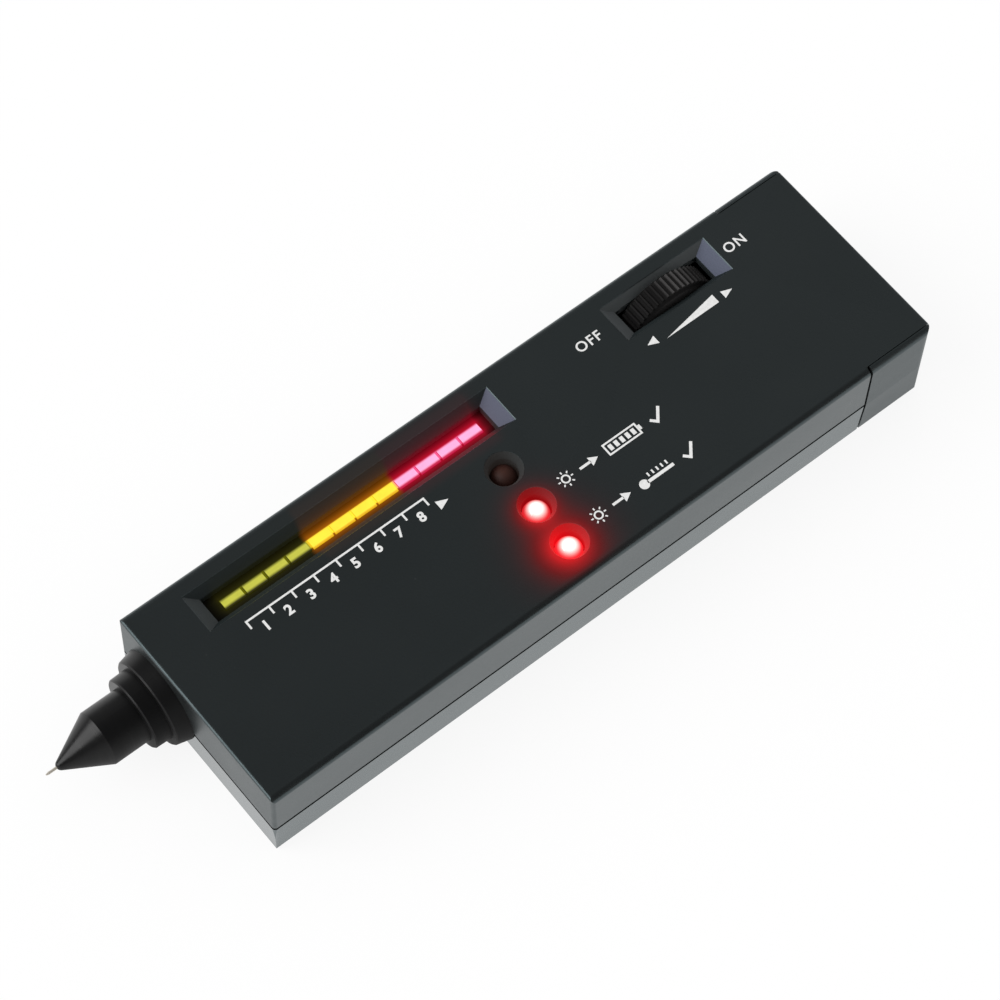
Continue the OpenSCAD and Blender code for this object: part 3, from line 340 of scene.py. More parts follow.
class SurfaceRecipe(Recipe):
    """A material's node tree, which ends in one shader."""

    def __init__(self, name: str) -> None:
        """Makes a material that has only its shader.

        Args:
            name: the material's name.
        """
        self.material = bpy.data.materials.new(name)
        self.material.use_nodes = True
        super().__init__(self.material.node_tree)
        self.shader = self.tree.nodes["Principled BSDF"]

    def shade(self, sockets: Mapping[str, Socket]) -> None:
        """Sets or links the shader's sockets."""
        for key, value in sockets.items():
            self.feed(self.shader.inputs[key], value)

    def shine(self, lights: Sequence[Light]) -> None:
        """Makes the surface give off light."""
        self.shade({"Emission Color": self.glow(lights), "Emission Strength": 1.0})

    def bump(self, height: Value, depth: float) -> None:
        """Raises the surface where the height is large.

        Args:
            height: between nought and one.
            depth: how far one stands above nought, in millimetres.
        """
        sockets = {"Height": height, "Distance": depth * MM, "Strength": 1.0}
        self.shade({"Normal": self.add("ShaderNodeBump", None, sockets).outputs[0]})


def shaded(colour: Colour, factor: float) -> Colour:
    """A colour made lighter or darker by a factor."""
    return tuple(min(1.0, part * factor) for part in colour)


def placed(name: str, data: bpy.types.ID) -> bpy.types.Object:
    """Puts a new object into the scene.

    Args:
        name: the object's name.
        data: its mesh, curve, light or camera.

    Returns:
        The new object, at the origin.
    """
    made = bpy.data.objects.new(name, data)
    bpy.context.scene.collection.objects.link(made)
    return made


def packed_box(node: str) -> tuple[np.ndarray, np.ndarray]:
    """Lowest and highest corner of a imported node."""
    return tuple(np.array(corner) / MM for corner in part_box(node))


@dataclass(frozen=True)
class Finish(ABC):
    """A surface finish.

    Attributes:
        name: a maker's words for it.
        colour: its main colour, linear red, green and blue.
        roughness: how matt it is.
    """

    name: str
    colour: Colour
    roughness: float

    @abstractmethod
    def paint(self, recipe: SurfaceRecipe) -> None:
        """Fills in the material's nodes.

        Args:
            recipe: the new material's nodes.
        """

    def tone(self, factor: float) -> Colour:
        """The main colour made lighter or darker."""
        return shaded(self.colour, factor)

    def varied(self, recipe: Recipe, share: Value, low: float, high: float) -> bpy.types.NodeSocket:
        """The main colour, from one tone where the share is nought to another where it is one."""
        return recipe.mix(share, self.tone(low), self.tone(high))

    def material(self) -> bpy.types.Material:
        """Makes the material.

        Returns:
            The new material.
        """
        recipe = SurfaceRecipe(self.name)
        self.paint(recipe)
        return recipe.material

    def dress(self, *nodes: str) -> None:
        """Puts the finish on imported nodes.

        Args:
            nodes: their names.
        """
        material = self.material()
        for node in nodes:
            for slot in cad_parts[node].material_slots:
                slot.material = material
            LOG.info("%s: %s", node, self.name)


@dataclass(frozen=True)
class Moulded(Finish):
    """Moulded plastic with a fine eroded grain, an uneven pigment and rubbed streaks.

    Attributes:
        grain, depth: size and depth of the grain.
        uneven, drift: how far the pigment drifts, and over what distance.
        streak: distance between streaks.
        gloss: coat of shine from handling.
    """

    grain: float = 0.35
    depth: float = 0.012
    uneven: float = 0.22
    drift: float = 22.0
    streak: float = 7.0
    gloss: float = 0.0

    def pigment(self, recipe: Recipe, drift: Value) -> bpy.types.NodeSocket:
        """The colour, which drifts to both sides of the main one."""
        return self.varied(recipe, drift, 1.0 - self.uneven, 1.0 + self.uneven)

    def paint(self, recipe: SurfaceRecipe) -> None:
        """Fills in the material's nodes.

        Args:
            recipe: the new material's nodes.
        """
        grain = recipe.noise(self.grain)
        rubbed = recipe.noise(self.streak, 4.0, STREAKED)
        recipe.shade({
            "Base Color": self.pigment(recipe, recipe.noise(self.drift, 3.0)),
            "Roughness": self.roughness + rubbed.swing(0.10) + grain.swing(0.08),
            "Coat Weight": self.gloss,
        })
        recipe.bump(grain, self.depth)


@dataclass(frozen=True)
class Halo:
    """Painted glow of a round lamp on the plastic round it: the plastic itself gives off the light.

    Attributes:
        centre: middle of the light on the top face.
        strength: light close to the lamp.
        full: radius where it begins to drop.
        reach: distance over which it drops to a third.
        below: level under which it shines.
        tint: colour of the light.
        crisp: height over which it ends there.
        above: levels between which it begins.
        inside: distances from the middle line between which it ends, at the side walls.
    """

    centre: Point
    strength: float
    full: float
    reach: float
    below: float = 22.0
    tint: Colour = (1.0, 0.004, 0.008)
    crisp: float = 0.15
    above: Point = (14.5, 15.5)
    inside: Point = (19.0, 21.0)

    def light(self, recipe: Recipe) -> Light:
        """Painted glow that drops with the distance from the lamp.

        Args:
            recipe: the nodes of the lit material.

        Returns:
            The glow's colour, with how bright it is painted at each place.
        """
        distance = (recipe.radius(Axis.HEIGHT, self.centre) - self.full).most(0.0)
        _, across, height = recipe.xyz
        level = height.rise(*self.above) * height.fall(self.below - self.crisp, self.below)
        return self.tint, distance.drop(self.reach) * level * abs(across).fall(*self.inside) * self.strength


@dataclass(frozen=True)
class BarLight:
    """Painted glow of the bar's lamps on the plastic round them.

    Attributes:
        line: place of the bar across the width.
        top: level of the lit faces.
        half: half the width of a lit face.
        first, yellow_from, red_from, last: where each colour begins, and where the bar ends.
        soft: half the distance over which one colour turns into the next.
        tints: painted glow close to each colour's lamps.
        between: painted glow in the narrow gaps between the lamps.
        slope: painted glow on the sloping face at the near side.
        slope_from, slope_to: ends of that face across the width.
        near, far: distances over which the close and the wide light drop to a third.
        wide: share of the wide light.
        ends: distances from a lit face's side between which the light ends.
        deep: depths below the lit faces between which it begins.
        gap_half: half the width of the full light in a gap.
    """

    line: float = 14.1
    top: float = 17.7
    half: float = 1.0
    first: float = -56.425
    yellow_from: float = -38.05
    red_from: float = -19.45
    last: float = -1.075
    soft: float = 0.7
    tints: tuple[Colour, ...] = ((0.022, 0.020, 0.0), (0.38, 0.105, 0.0), (0.52, 0.002, 0.022))
    between: tuple[Colour, ...] = ((0.11, 0.11, 0.0), (0.93, 0.82, 0.040), (0.54, 0.11, 0.28))
    slope: tuple[Colour, ...] = (BLACK, (0.014, 0.002, 0.0), (0.075, 0.0, 0.002))
    slope_from: float = 9.75
    slope_to: float = 11.15
    near: float = 0.8
    far: float = 3.2
    wide: float = 0.11
    ends: Point = (4.0, 6.0)
    deep: Point = (3.0, 1.0)
    gap_half: float = 0.6

    def shares(self, recipe: Recipe) -> tuple[Value, Value, Value]:
        """Finds how much each colour counts along the bar, dropping off beyond its ends.

        Args:
            recipe: the nodes of the lit material.

        Returns:
            The shares of green, yellow and red.
        """
        along = recipe.xyz[0]
        ends = (self.first - along).most(along - self.last).most(0.0).drop(self.near)
        starts = self.yellow_from, self.red_from
        yellow, red = (along.rise(start - self.soft, start + self.soft) for start in starts)
        return (1.0 - yellow) * ends, yellow * (1.0 - red) * ends, red * ends

    def light(self, recipe: Recipe) -> list[Light]:
        """Painted glow that drops with the distance from the lit faces: a close one and a wide one.

        Args:
            recipe: the nodes of the lit material.

        Returns:
            The painted glow of each colour on the walls, and then on the sloping face.
        """
        _, across, height = recipe.xyz
        side = (abs(across - self.line) - self.half).most(0.0)
        rise = height - self.top
        distance = (side * side + rise * rise).root()
        drop = distance.drop(self.near) + distance.drop(self.far) * self.wide
        drop = drop * side.fall(*self.ends) * height.rise(*(self.top - depth for depth in self.deep))
        caught = (across > self.slope_from) * (across < self.slope_to) * (height > self.top)
        shares = self.shares(recipe)
        lights = [(tint, share * drop) for tint, share in zip(self.tints, shares)]
        return lights + [(tint, share * caught) for tint, share in zip(self.slope, shares)]

    def gaps(self, recipe: Recipe) -> list[Light]:
        """Painted glow in the gaps, only as wide as the lit faces and no longer than the bar.

        Args:
            recipe: the nodes of the lit material.

        Returns:
            The painted glow of each colour.
        """
        along, across, _ = recipe.xyz
        within = abs(across - self.line).fall(self.gap_half, self.half)
        within = within * (along > self.first) * (along < self.last)
        return [(tint, share * within) for tint, share in zip(self.between, self.shares(recipe))]


@dataclass(frozen=True)
class Recess:
    """The four sloping faces of a recess, each in a tone of its own, which paints shade and reflections on
    them.

    Attributes:
        middle, half: middle and half size of its upright walls along the length and across the width.
        slope: length of the end faces and width of the side faces.
        front, rear, near, far: the faces' colours.
        lip: how far the colours lie outside the edges, in parts of the slope.
    """

    middle: Point
    half: Point
    slope: Point
    front: Colour
    rear: Colour
    near: Colour
    far: Colour
    lip: float = 0.02

    def tint(self, recipe: Recipe, below: Socket, share: Value) -> bpy.types.NodeSocket:
        """Lays the faces' colours over another one.

        Args:
            recipe: the material's nodes.
            below: the colour elsewhere.
            share: how much of the faces' colours shows.

        Returns:
            The mixed colour.
        """
        along, across = (value - middle for value, middle in zip(recipe.xyz, self.middle))
        end, side = ((abs(value) - half) / slope
                     for value, half, slope in zip((along, across), self.half, self.slope))
        outside = end.most(side)
        sloping = (outside > self.lip) * (outside < 1.0 + self.lip) * share
        at_end, at_side = (end > side) * sloping, (side > end) * sloping
        faces = ((at_end * (along < 0.0), self.front), (at_end * (along > 0.0), self.rear),
                 (at_side * (across < 0.0), self.near), (at_side * (across > 0.0), self.far))
        for mask, colour in faces:
            below = recipe.mix(mask, below, colour)
        return below


@dataclass(frozen=True)
class HousingPlastic(Moulded):
    """The housing's plastic: wear and a painted highlight on its edges, painted recess tones, painted lamp
    glow.

    Attributes:
        drift, streak: distances over which the pigment drifts, and between streaks.
        half_length, half_width, height: the housing's outer size.
        wear, rubbed_tone: how far the edges are rubbed, and how much paler they are there.
        rim: distances from an edge between which the wear ends.
        matt: roughness in the recesses.
        wall, sunk: distances from the outer walls, and depths under the top face, where a recess begins.
        recesses: the recesses, with the painted tones of their faces.
        front, face: roughness added on the face round the probe, and distances behind it where that ends.
        index, mirror, cool: refraction, strength and tint of its reflections.
        dust, dust_share: colour of the dust, and how much of it shows.
        halos: the round lamps whose glow is painted on it.
        drowned: how soon the painted red glow drowns the plastic's own colour.
        bar: the light bar, whose glow is painted on this piece.
    """

    drift: float = 26.0
    streak: float = 9.0
    half_length: float = 72.5
    half_width: float = 21.2
    height: float = 21.2
    wear: float = 0.35
    rubbed_tone: float = 3.0
    rim: Point = (0.15, 0.9)
    matt: float = 0.92
    wall: Point = (1.6, 2.2)
    sunk: Point = (0.2, 0.04)
    recesses: tuple[Recess, ...] = ()
    front: float = 0.0
    face: Point = (0.3, 0.8)
    index: float = 1.5
    mirror: float = 1.0
    cool: Colour = (0.74, 0.95, 1.0)
    dust: Colour = (0.09, 0.09, 0.088)
    dust_share: float = 0.25
    halos: tuple[Halo, ...] = ()
    drowned: float = 8.0
    bar: BarLight | None = None

    def walls(self, recipe: Recipe) -> tuple[Value, Value]:
        """Distances inwards from the end faces and from the side faces."""
        along, across, _ = recipe.xyz
        return self.half_length - abs(along), self.half_width - abs(across)

    def edges(self, recipe: Recipe) -> Value:
        """Finds the outer edges, by the second smallest distance to the outer planes.

        Args:
            recipe: the material's nodes.

        Returns:
            One on the edges, broken by noise.
        """
        height = recipe.xyz[2]
        end, side = self.walls(recipe)
        second = end.least(side).most(end.most(side).least(height.least(self.height - height)))
        return second.fall(*self.rim) * recipe.noise(2.4, 4.0, (0.4, 1.0, 1.0)).rise(0.38, 0.66)

    def recess(self, recipe: Recipe) -> Value:
        """Finds the recesses.

        Args:
            recipe: the material's nodes.

        Returns:
            One below the top face and well inside the outer walls.
        """
        end, side = self.walls(recipe)
        below = recipe.xyz[2].fall(*(self.height - depth for depth in self.sunk))
        return end.least(side).rise(*self.wall) * below

    def paint(self, recipe: SurfaceRecipe) -> None:
        """Fills in the material's nodes.

        Args:
            recipe: the new material's nodes.
        """
        drift = recipe.noise(self.drift, 3.0)
        grain = recipe.noise(self.grain)
        rubbed = recipe.noise(self.streak, 4.0, STREAKED)
        dust = recipe.flecks(5.2).fall(0.02, 0.05) * recipe.noise(18.0).rise(0.5, 0.7)
        # Paler outer edges: partly rub wear, partly a painted highlight on the rounded edges.
        worn_and_highlit = self.edges(recipe) * self.wear
        recess = self.recess(recipe)
        front = recipe.xyz[0].fall(*(behind - self.half_length for behind in self.face))
        # The round lamps' painted glow on this plastic.
        lights = [halo.light(recipe) for halo in self.halos]
        body = recipe.mix(worn_and_highlit, self.pigment(recipe, drift), self.tone(self.rubbed_tone))
        # Painted shade and painted reflections on the recesses' sloping faces.
        for part in self.recesses:
            body = part.tint(recipe, body, recess * (0.5 + drift))
        # Where the painted glow is strong, the plastic's own colour gives way to black.
        for _, light in lights:
            body = recipe.mix((light * self.drowned).least(1.0), body, BLACK)
        roughness = self.roughness + recess * (self.matt - self.roughness) + front * self.front
        recipe.shade({
            "Base Color": recipe.mix(dust * self.dust_share, body, self.dust),
            "Roughness": roughness + rubbed.swing(0.09) + grain.swing(0.08) - 0.10 * worn_and_highlit,
            "IOR": self.index,
            "Specular IOR Level": self.mirror,
            "Specular Tint": self.cool,
        })
        recipe.bump(grain, self.depth)
        # The light bar's painted glow; all of the painted glow is given off by the plastic itself.
        if self.bar:
            lights += self.bar.light(recipe)
        if lights:
            recipe.shine(lights)


@dataclass(frozen=True)
class LitHolder(Moulded):
    """Matt black plastic with a painted glow of the lamps that stand in it.

    Attributes:
        bar: the lamps' painted glow.
        mirror: strength of the reflections.
    """

    bar: BarLight = BarLight()
    mirror: float = 0.1

    def paint(self, recipe: SurfaceRecipe) -> None:
        """Fills in the material's nodes.

        Args:
            recipe: the new material's nodes.
        """
        super().paint(recipe)
        # The lamps' glow, painted on the holder.
        recipe.shine(self.bar.light(recipe) + self.bar.gaps(recipe))
        recipe.shade({"Specular IOR Level": self.mirror})


@dataclass(frozen=True)
class LitBlock(Finish):
    """The lit face of a rectangular lamp: bright in the middle and dimmer towards its edge.

    Attributes:
        rim: colour at the edge.
        first: middle of the row's first lamp along the length.
        line: place of the row across the width.
        pitch: distance from lamp to lamp.
        length, width: the lamp's face.
        top: level of the lit face.
        end_from, side_from: where the edge begins, in parts of half the length and half the width.
        deep: depths below the face between which the light begins.
        unlit, unlit_rim: the body's own tones, in parts of the lit colours.
    """

    rim: Colour
    first: float
    line: float
    pitch: float
    length: float
    width: float
    top: float
    end_from: float
    side_from: float
    deep: Point = (1.2, 0.1)
    unlit: float = 0.35
    unlit_rim: float = 0.3

    def paint(self, recipe: SurfaceRecipe) -> None:
        """Fills in the material's nodes.

        Args:
            recipe: the new material's nodes.
        """
        along, across, height = recipe.xyz
        half_pitch, half_length, half_width = 0.5 * self.pitch, 0.5 * self.length, 0.5 * self.width
        step = (along - (self.first - half_pitch)) % self.pitch
        end, side = abs(step - half_pitch) / half_length, abs(across - self.line) / half_width
        edge = end.rise(self.end_from, 1.0).most(side.rise(self.side_from, 1.0))
        haze = recipe.noise(1.3)
        lit = height.rise(*(self.top - depth for depth in self.deep)) * (1.0 + haze.swing(0.24))
        recipe.shade({
            "Base Color": recipe.mix(edge, self.tone(self.unlit), shaded(self.rim, self.unlit_rim)),
            "Roughness": self.roughness + 0.1 * haze,
        })
        recipe.shine([(self.colour, lit * (1.0 - edge)), (self.rim, lit * edge)])


@dataclass(frozen=True)
class LampLens(Finish):
    """A domed lens: a hot middle when lit, and the chip's cup seen through it when dark.

    Attributes:
        centre: the lens's place.
        core: colour of the middle.
        core_radius: where the middle begins to fade.
        rim_radius: where it has faded.
        lit: strength of the light.
        gloss: share of the clear outer layer.
        unlit: the middle's own tone, in parts of its colour.
    """

    centre: Point
    core: Colour
    core_radius: float
    rim_radius: float
    lit: float
    gloss: float = 0.6
    unlit: float = 0.6

    def paint(self, recipe: SurfaceRecipe) -> None:
        """Fills in the material's nodes.

        Args:
            recipe: the new material's nodes.
        """
        middle = recipe.radius(Axis.HEIGHT, self.centre).fall(self.core_radius, self.rim_radius)
        haze = recipe.noise(1.1)
        core = shaded(self.core, self.unlit)
        recipe.shade({
            "Base Color": recipe.mix(middle * (0.75 + 0.25 * haze), self.colour, core),
            "Roughness": self.roughness + 0.06 * haze,
            "Coat Weight": self.gloss,
        })
        if self.lit:
            recipe.shine([(self.core, middle * self.lit), (self.colour, (1.0 - middle) * self.lit)])


@dataclass(frozen=True)
class Metal(Finish):
    """Drawn, turned or plated metal with fine marks along or round one direction.

    Attributes:
        marks: factor in each direction; the marks run where it is small.
        mark_size: distance between marks.
        tarnish: share of dull patches.
        dull: colour of the patches.
        bare: share of bare metal.
    """

    marks: Triple = (0.05, 1.0, 1.0)
    mark_size: float = 0.12
    tarnish: float = 0.3
    dull: Colour = (0.20, 0.17, 0.13)
    bare: float = 1.0

    def paint(self, recipe: SurfaceRecipe) -> None:
        """Fills in the material's nodes.

        Args:
            recipe: the new material's nodes.
        """
        lines = recipe.noise(self.mark_size, 2.0, self.marks)
        patch = recipe.noise(2.2, 3.0).rise(0.5, 0.8) * self.tarnish
        recipe.shade({
            "Base Color": recipe.mix(patch, self.varied(recipe, lines, 0.86, 1.08), self.dull),
            "Roughness": self.roughness + lines.swing(0.16) + 0.25 * patch,
            "Metallic": self.bare,
        })
        recipe.bump(lines, 0.004)


@dataclass(frozen=True)
class TurnedPlastic(Finish):
    """Black plastic from a lathe, with fine rings round the axis.

    Attributes:
        axis: the lathe's axis across the width and the height.
        dull, held: roughness added at the near side, where hands hold it, and cosines where that ends.
        ring, depth: distance between rings, and their depth.
        mirror: strength of the reflections.
    """

    axis: Point = (10.1, 10.0)
    dull: float = 0.3
    held: Point = (-0.9, -0.3)
    ring: float = 0.22
    depth: float = 0.008
    mirror: float = 0.35

    def paint(self, recipe: SurfaceRecipe) -> None:
        """Fills in the material's nodes.

        Args:
            recipe: the new material's nodes.
        """
        rings = recipe.noise(self.ring, 2.0, (1.0, 0.02, 0.02))
        smear = recipe.noise(2.5, 4.0, (1.0, 0.4, 0.4))
        near = ((recipe.xyz[1] - self.axis[0]) / recipe.radius(Axis.LENGTH, self.axis)).fall(*self.held)
        recipe.shade({
            "Base Color": self.varied(recipe, recipe.noise(6.0, 3.0), 0.75, 1.3),
            "Roughness": self.roughness + self.dull * near + smear.swing(0.14) + rings.swing(0.10),
            "Specular IOR Level": self.mirror,
        })
        recipe.bump(rings, self.depth)


@dataclass(frozen=True)
class GroovedRim(Moulded):
    """The thumbwheel's plastic, polished on its crests, with painted light on its crests and side faces.

    Attributes:
        axle: the wheel's axis along the length and the height.
        crest: radius of the crests.
        root: radius of the grooves' floors.
        flank: radii between which the side faces end.
        thumb: ends of the length of the crests' painted highlight on top, from its middle.
        thumb_at: how far the middle of that lies behind the axle.
        span: lengths behind the axle between which the crests' painted light grows from one tone to the
            other.
            crest_tones, thumbed, groove, side: tones of the crests, their highlight, the grooves and the
                side faces.
        mirror: strength of the reflections.
    """

    axle: Point = (0.0, 0.0)
    crest: float = 10.0
    root: float = 9.4
    flank: Point = (8.7, 9.2)
    thumb: Point = (1.0, 4.6)
    thumb_at: float = 1.9
    span: Point = (-6.0, 8.0)
    crest_tones: Point = (1.6, 3.4)
    thumbed: float = 8.5
    groove: float = 1.2
    side: float = 6.0
    mirror: float = 0.05

    def paint(self, recipe: SurfaceRecipe) -> None:
        """Fills in the material's nodes.

        Args:
            recipe: the new material's nodes.
        """
        super().paint(recipe)
        radius = recipe.radius(Axis.WIDTH, self.axle)
        high = radius.rise(self.root, self.crest)
        drift = recipe.noise(3.0, 3.0)
        along, _, height = recipe.xyz
        behind = along - self.axle[0]
        # Painted highlight on the upper crests, a little behind the axle.
        thumbed = abs(behind - self.thumb_at).fall(*self.thumb) * (height > self.axle[1])
        # Painted light: the crests get paler towards the rear.
        crest = self.varied(recipe, behind.rise(*self.span), *self.crest_tones)
        crest = recipe.mix(thumbed * (0.75 + 0.5 * drift), crest, self.tone(self.thumbed))
        rim = recipe.mix(high, self.tone(self.groove), crest)
        # The side faces get a paler tone, as painted light.
        recipe.shade({
            "Base Color": recipe.mix(radius.fall(*self.flank), rim, self.tone(self.side)),
            "Roughness": self.roughness + drift.swing(0.08) - 0.12 * high,
            "Specular IOR Level": self.mirror,
        })


@dataclass(frozen=True)
class Ink(Finish):
    """Screen-printed ink: nearly even, a little thin in places."""

    def paint(self, recipe: SurfaceRecipe) -> None:
        """Fills in the material's nodes.

        Args:
            recipe: the new material's nodes.
        """
        thin = recipe.noise(0.5, 3.0)
        recipe.shade({
            "Base Color": self.varied(recipe, thin.rise(0.35, 0.75), 1.0, 0.88),
            "Roughness": self.roughness + thin.swing(0.12),
        })
        recipe.bump(thin, 0.003)


@dataclass(frozen=True)
class BoardLacquer(Finish):
    """Lacquered circuit board: copper tracks under the lacquer and tinned holes on a grid.

    Attributes:
        pitch: distance between holes.
        track: width of a track.
        pad: radius of a tinned ring.
        copper, tin: colours of a lacquered track and of a ring.
    """

    pitch: float = 2.54
    track: float = 0.7
    pad: float = 0.65
    copper: Colour = (0.07, 0.22, 0.06)
    tin: Colour = (0.6, 0.6, 0.57)

    def paint(self, recipe: SurfaceRecipe) -> None:
        """Fills in the material's nodes.

        Args:
            recipe: the new material's nodes.
        """
        along, across, _ = recipe.xyz
        half_pitch, half_track = 0.5 * self.pitch, 0.5 * self.track
        off_along, off_across = (abs(value % self.pitch - half_pitch) for value in (along, across))
        runs_along = recipe.noise(9.0, 0.0, (0.35, 1.4, 1.0)) > 0.5
        runs_across = recipe.noise(8.0, 0.0, (1.4, 0.35, 1.0)) > 0.54
        tracks = ((off_across < half_track) * runs_along).most((off_along < half_track) * runs_across)
        distance = (off_along * off_along + off_across * off_across).root()
        pads = (distance < self.pad) * (recipe.noise(6.0, 0.0) > 0.52)
        weave = recipe.noise(0.5, 1.0)
        lacquer = recipe.mix(weave * 0.3, recipe.mix(tracks, self.colour, self.copper), self.tone(1.6))
        recipe.shade({
            "Base Color": recipe.mix(pads, lacquer, self.tin),
            "Roughness": self.roughness + 0.2 * pads + 0.1 * weave,
            "Metallic": pads * 0.9,
        })
        recipe.bump(tracks.most(pads), 0.03)


@dataclass(frozen=True)
class Banded(Finish):
    """A small body with painted bands across one direction.

    Attributes:
        axis: direction along which the bands follow each other.
        start: where the first band begins.
        band: width of a band.
        gap: distance between bands.
        bands: the bands' colours.
        repeat: distance after which the row of bands begins again.
    """

    axis: Axis
    start: float
    band: float
    gap: float
    bands: tuple[Colour, ...]
    repeat: float

    def paint(self, recipe: SurfaceRecipe) -> None:
        """Fills in the material's nodes.

        Args:
            recipe: the new material's nodes.
        """
        place = (recipe.xyz[self.axis.value] - self.start) % self.repeat
        speckle = recipe.noise(0.5)
        colour = self.varied(recipe, speckle, 0.88, 1.1)
        for number, band in enumerate(self.bands):
            low = number * (self.band + self.gap)
            colour = recipe.mix((place > low) * (place < low + self.band), colour, band)
        recipe.shade({"Base Color": colour, "Roughness": self.roughness + speckle.swing(0.12)})
        recipe.bump(speckle, 0.01)


@dataclass(frozen=True)
class Sleeve(Finish):
    """A shrunk plastic sleeve: glossy, with faint shrink lines and a pale stripe down one side.

    Attributes:
        stripe: colour of the stripe.
        line: place of the stripe across the width.
        half: half its width.
        gloss: share of the clear outer layer.
    """

    stripe: Colour
    line: float
    half: float
    gloss: float = 0.3

    def paint(self, recipe: SurfaceRecipe) -> None:
        """Fills in the material's nodes.

        Args:
            recipe: the new material's nodes.
        """
        shrink = recipe.noise(0.7, 3.0, (1.0, 1.0, 0.2))
        stripe = abs(recipe.xyz[1] - self.line) < self.half
        recipe.shade({
            "Base Color": recipe.mix(stripe, self.varied(recipe, shrink, 0.8, 1.2), self.stripe),
            "Roughness": self.roughness + shrink.swing(0.15),
            "Coat Weight": self.gloss,
        })
        recipe.bump(shrink, 0.02)


@dataclass(frozen=True)
class Insulation(Finish):
    """Soft lead insulation with a powdery bloom."""

    def paint(self, recipe: SurfaceRecipe) -> None:
        """Fills in the material's nodes.

        Args:
            recipe: the new material's nodes.
        """
        bloom = recipe.noise(1.6, 4.0)
        recipe.shade({
            "Base Color": self.varied(recipe, bloom, 0.85, 1.15),
            "Roughness": self.roughness + bloom.swing(0.15),
        })
        recipe.bump(recipe.noise(0.15, 1.0), 0.01)


@dataclass(frozen=True)
class BatteryJacket(Finish):
    """A plain battery jacket: lacquered sheet with one metal-coloured band, scuffed along its corners.

    Attributes:
        band: colour of the band.
        band_from, band_to: where the band lies along the length.
        middle: middle of the block across the width and the height.
        half: half the block's width and height.
        scuffed: colour of the bare corners.
    """

    band: Colour
    band_from: float
    band_to: float
    middle: Point
    half: Point
    scuffed: Colour = (0.45, 0.45, 0.46)

    def paint(self, recipe: SurfaceRecipe) -> None:
        """Fills in the material's nodes.

        Args:
            recipe: the new material's nodes.
        """
        along, *others = recipe.xyz
        banded = (along > self.band_from) * (along < self.band_to)
        side, level = (half - abs(value - middle)
                       for value, middle, half in zip(others, self.middle, self.half))
        corner = side.most(level).fall(0.3, 2.2) * recipe.noise(1.4, 4.0).rise(0.45, 0.62)
        brushed = recipe.noise(0.2, 2.0, (0.05, 1.0, 1.0))
        band = recipe.mix(brushed, shaded(self.band, 0.85), self.band)
        jacket = recipe.mix(banded, self.varied(recipe, brushed, 0.85, 1.2), band)
        recipe.shade({
            "Base Color": recipe.mix(corner * 0.6, jacket, self.scuffed),
            "Roughness": self.roughness + brushed.swing(0.2) + 0.1 * corner,
            "Metallic": banded.most(corner) * 0.85,
        })
        recipe.bump(brushed, 0.004)


@dataclass(frozen=True)
class Foam(Finish):
    """Open foam: round cells, with painted shade in their mouths.

    Attributes:
        cell: distance between cells.
    """

    cell: float = 0.45

    def paint(self, recipe: SurfaceRecipe) -> None:
        """Fills in the material's nodes.

        Args:
            recipe: the new material's nodes.
        """
        cells = recipe.flecks(self.cell)
        # Painted shade: darker towards each cell's middle.
        recipe.shade({
            "Base Color": self.varied(recipe, cells.rise(0.1, 0.6), 0.4, 1.5),
            "Roughness": self.roughness - 0.1 * cells,
        })
        recipe.bump(cells, 0.15)


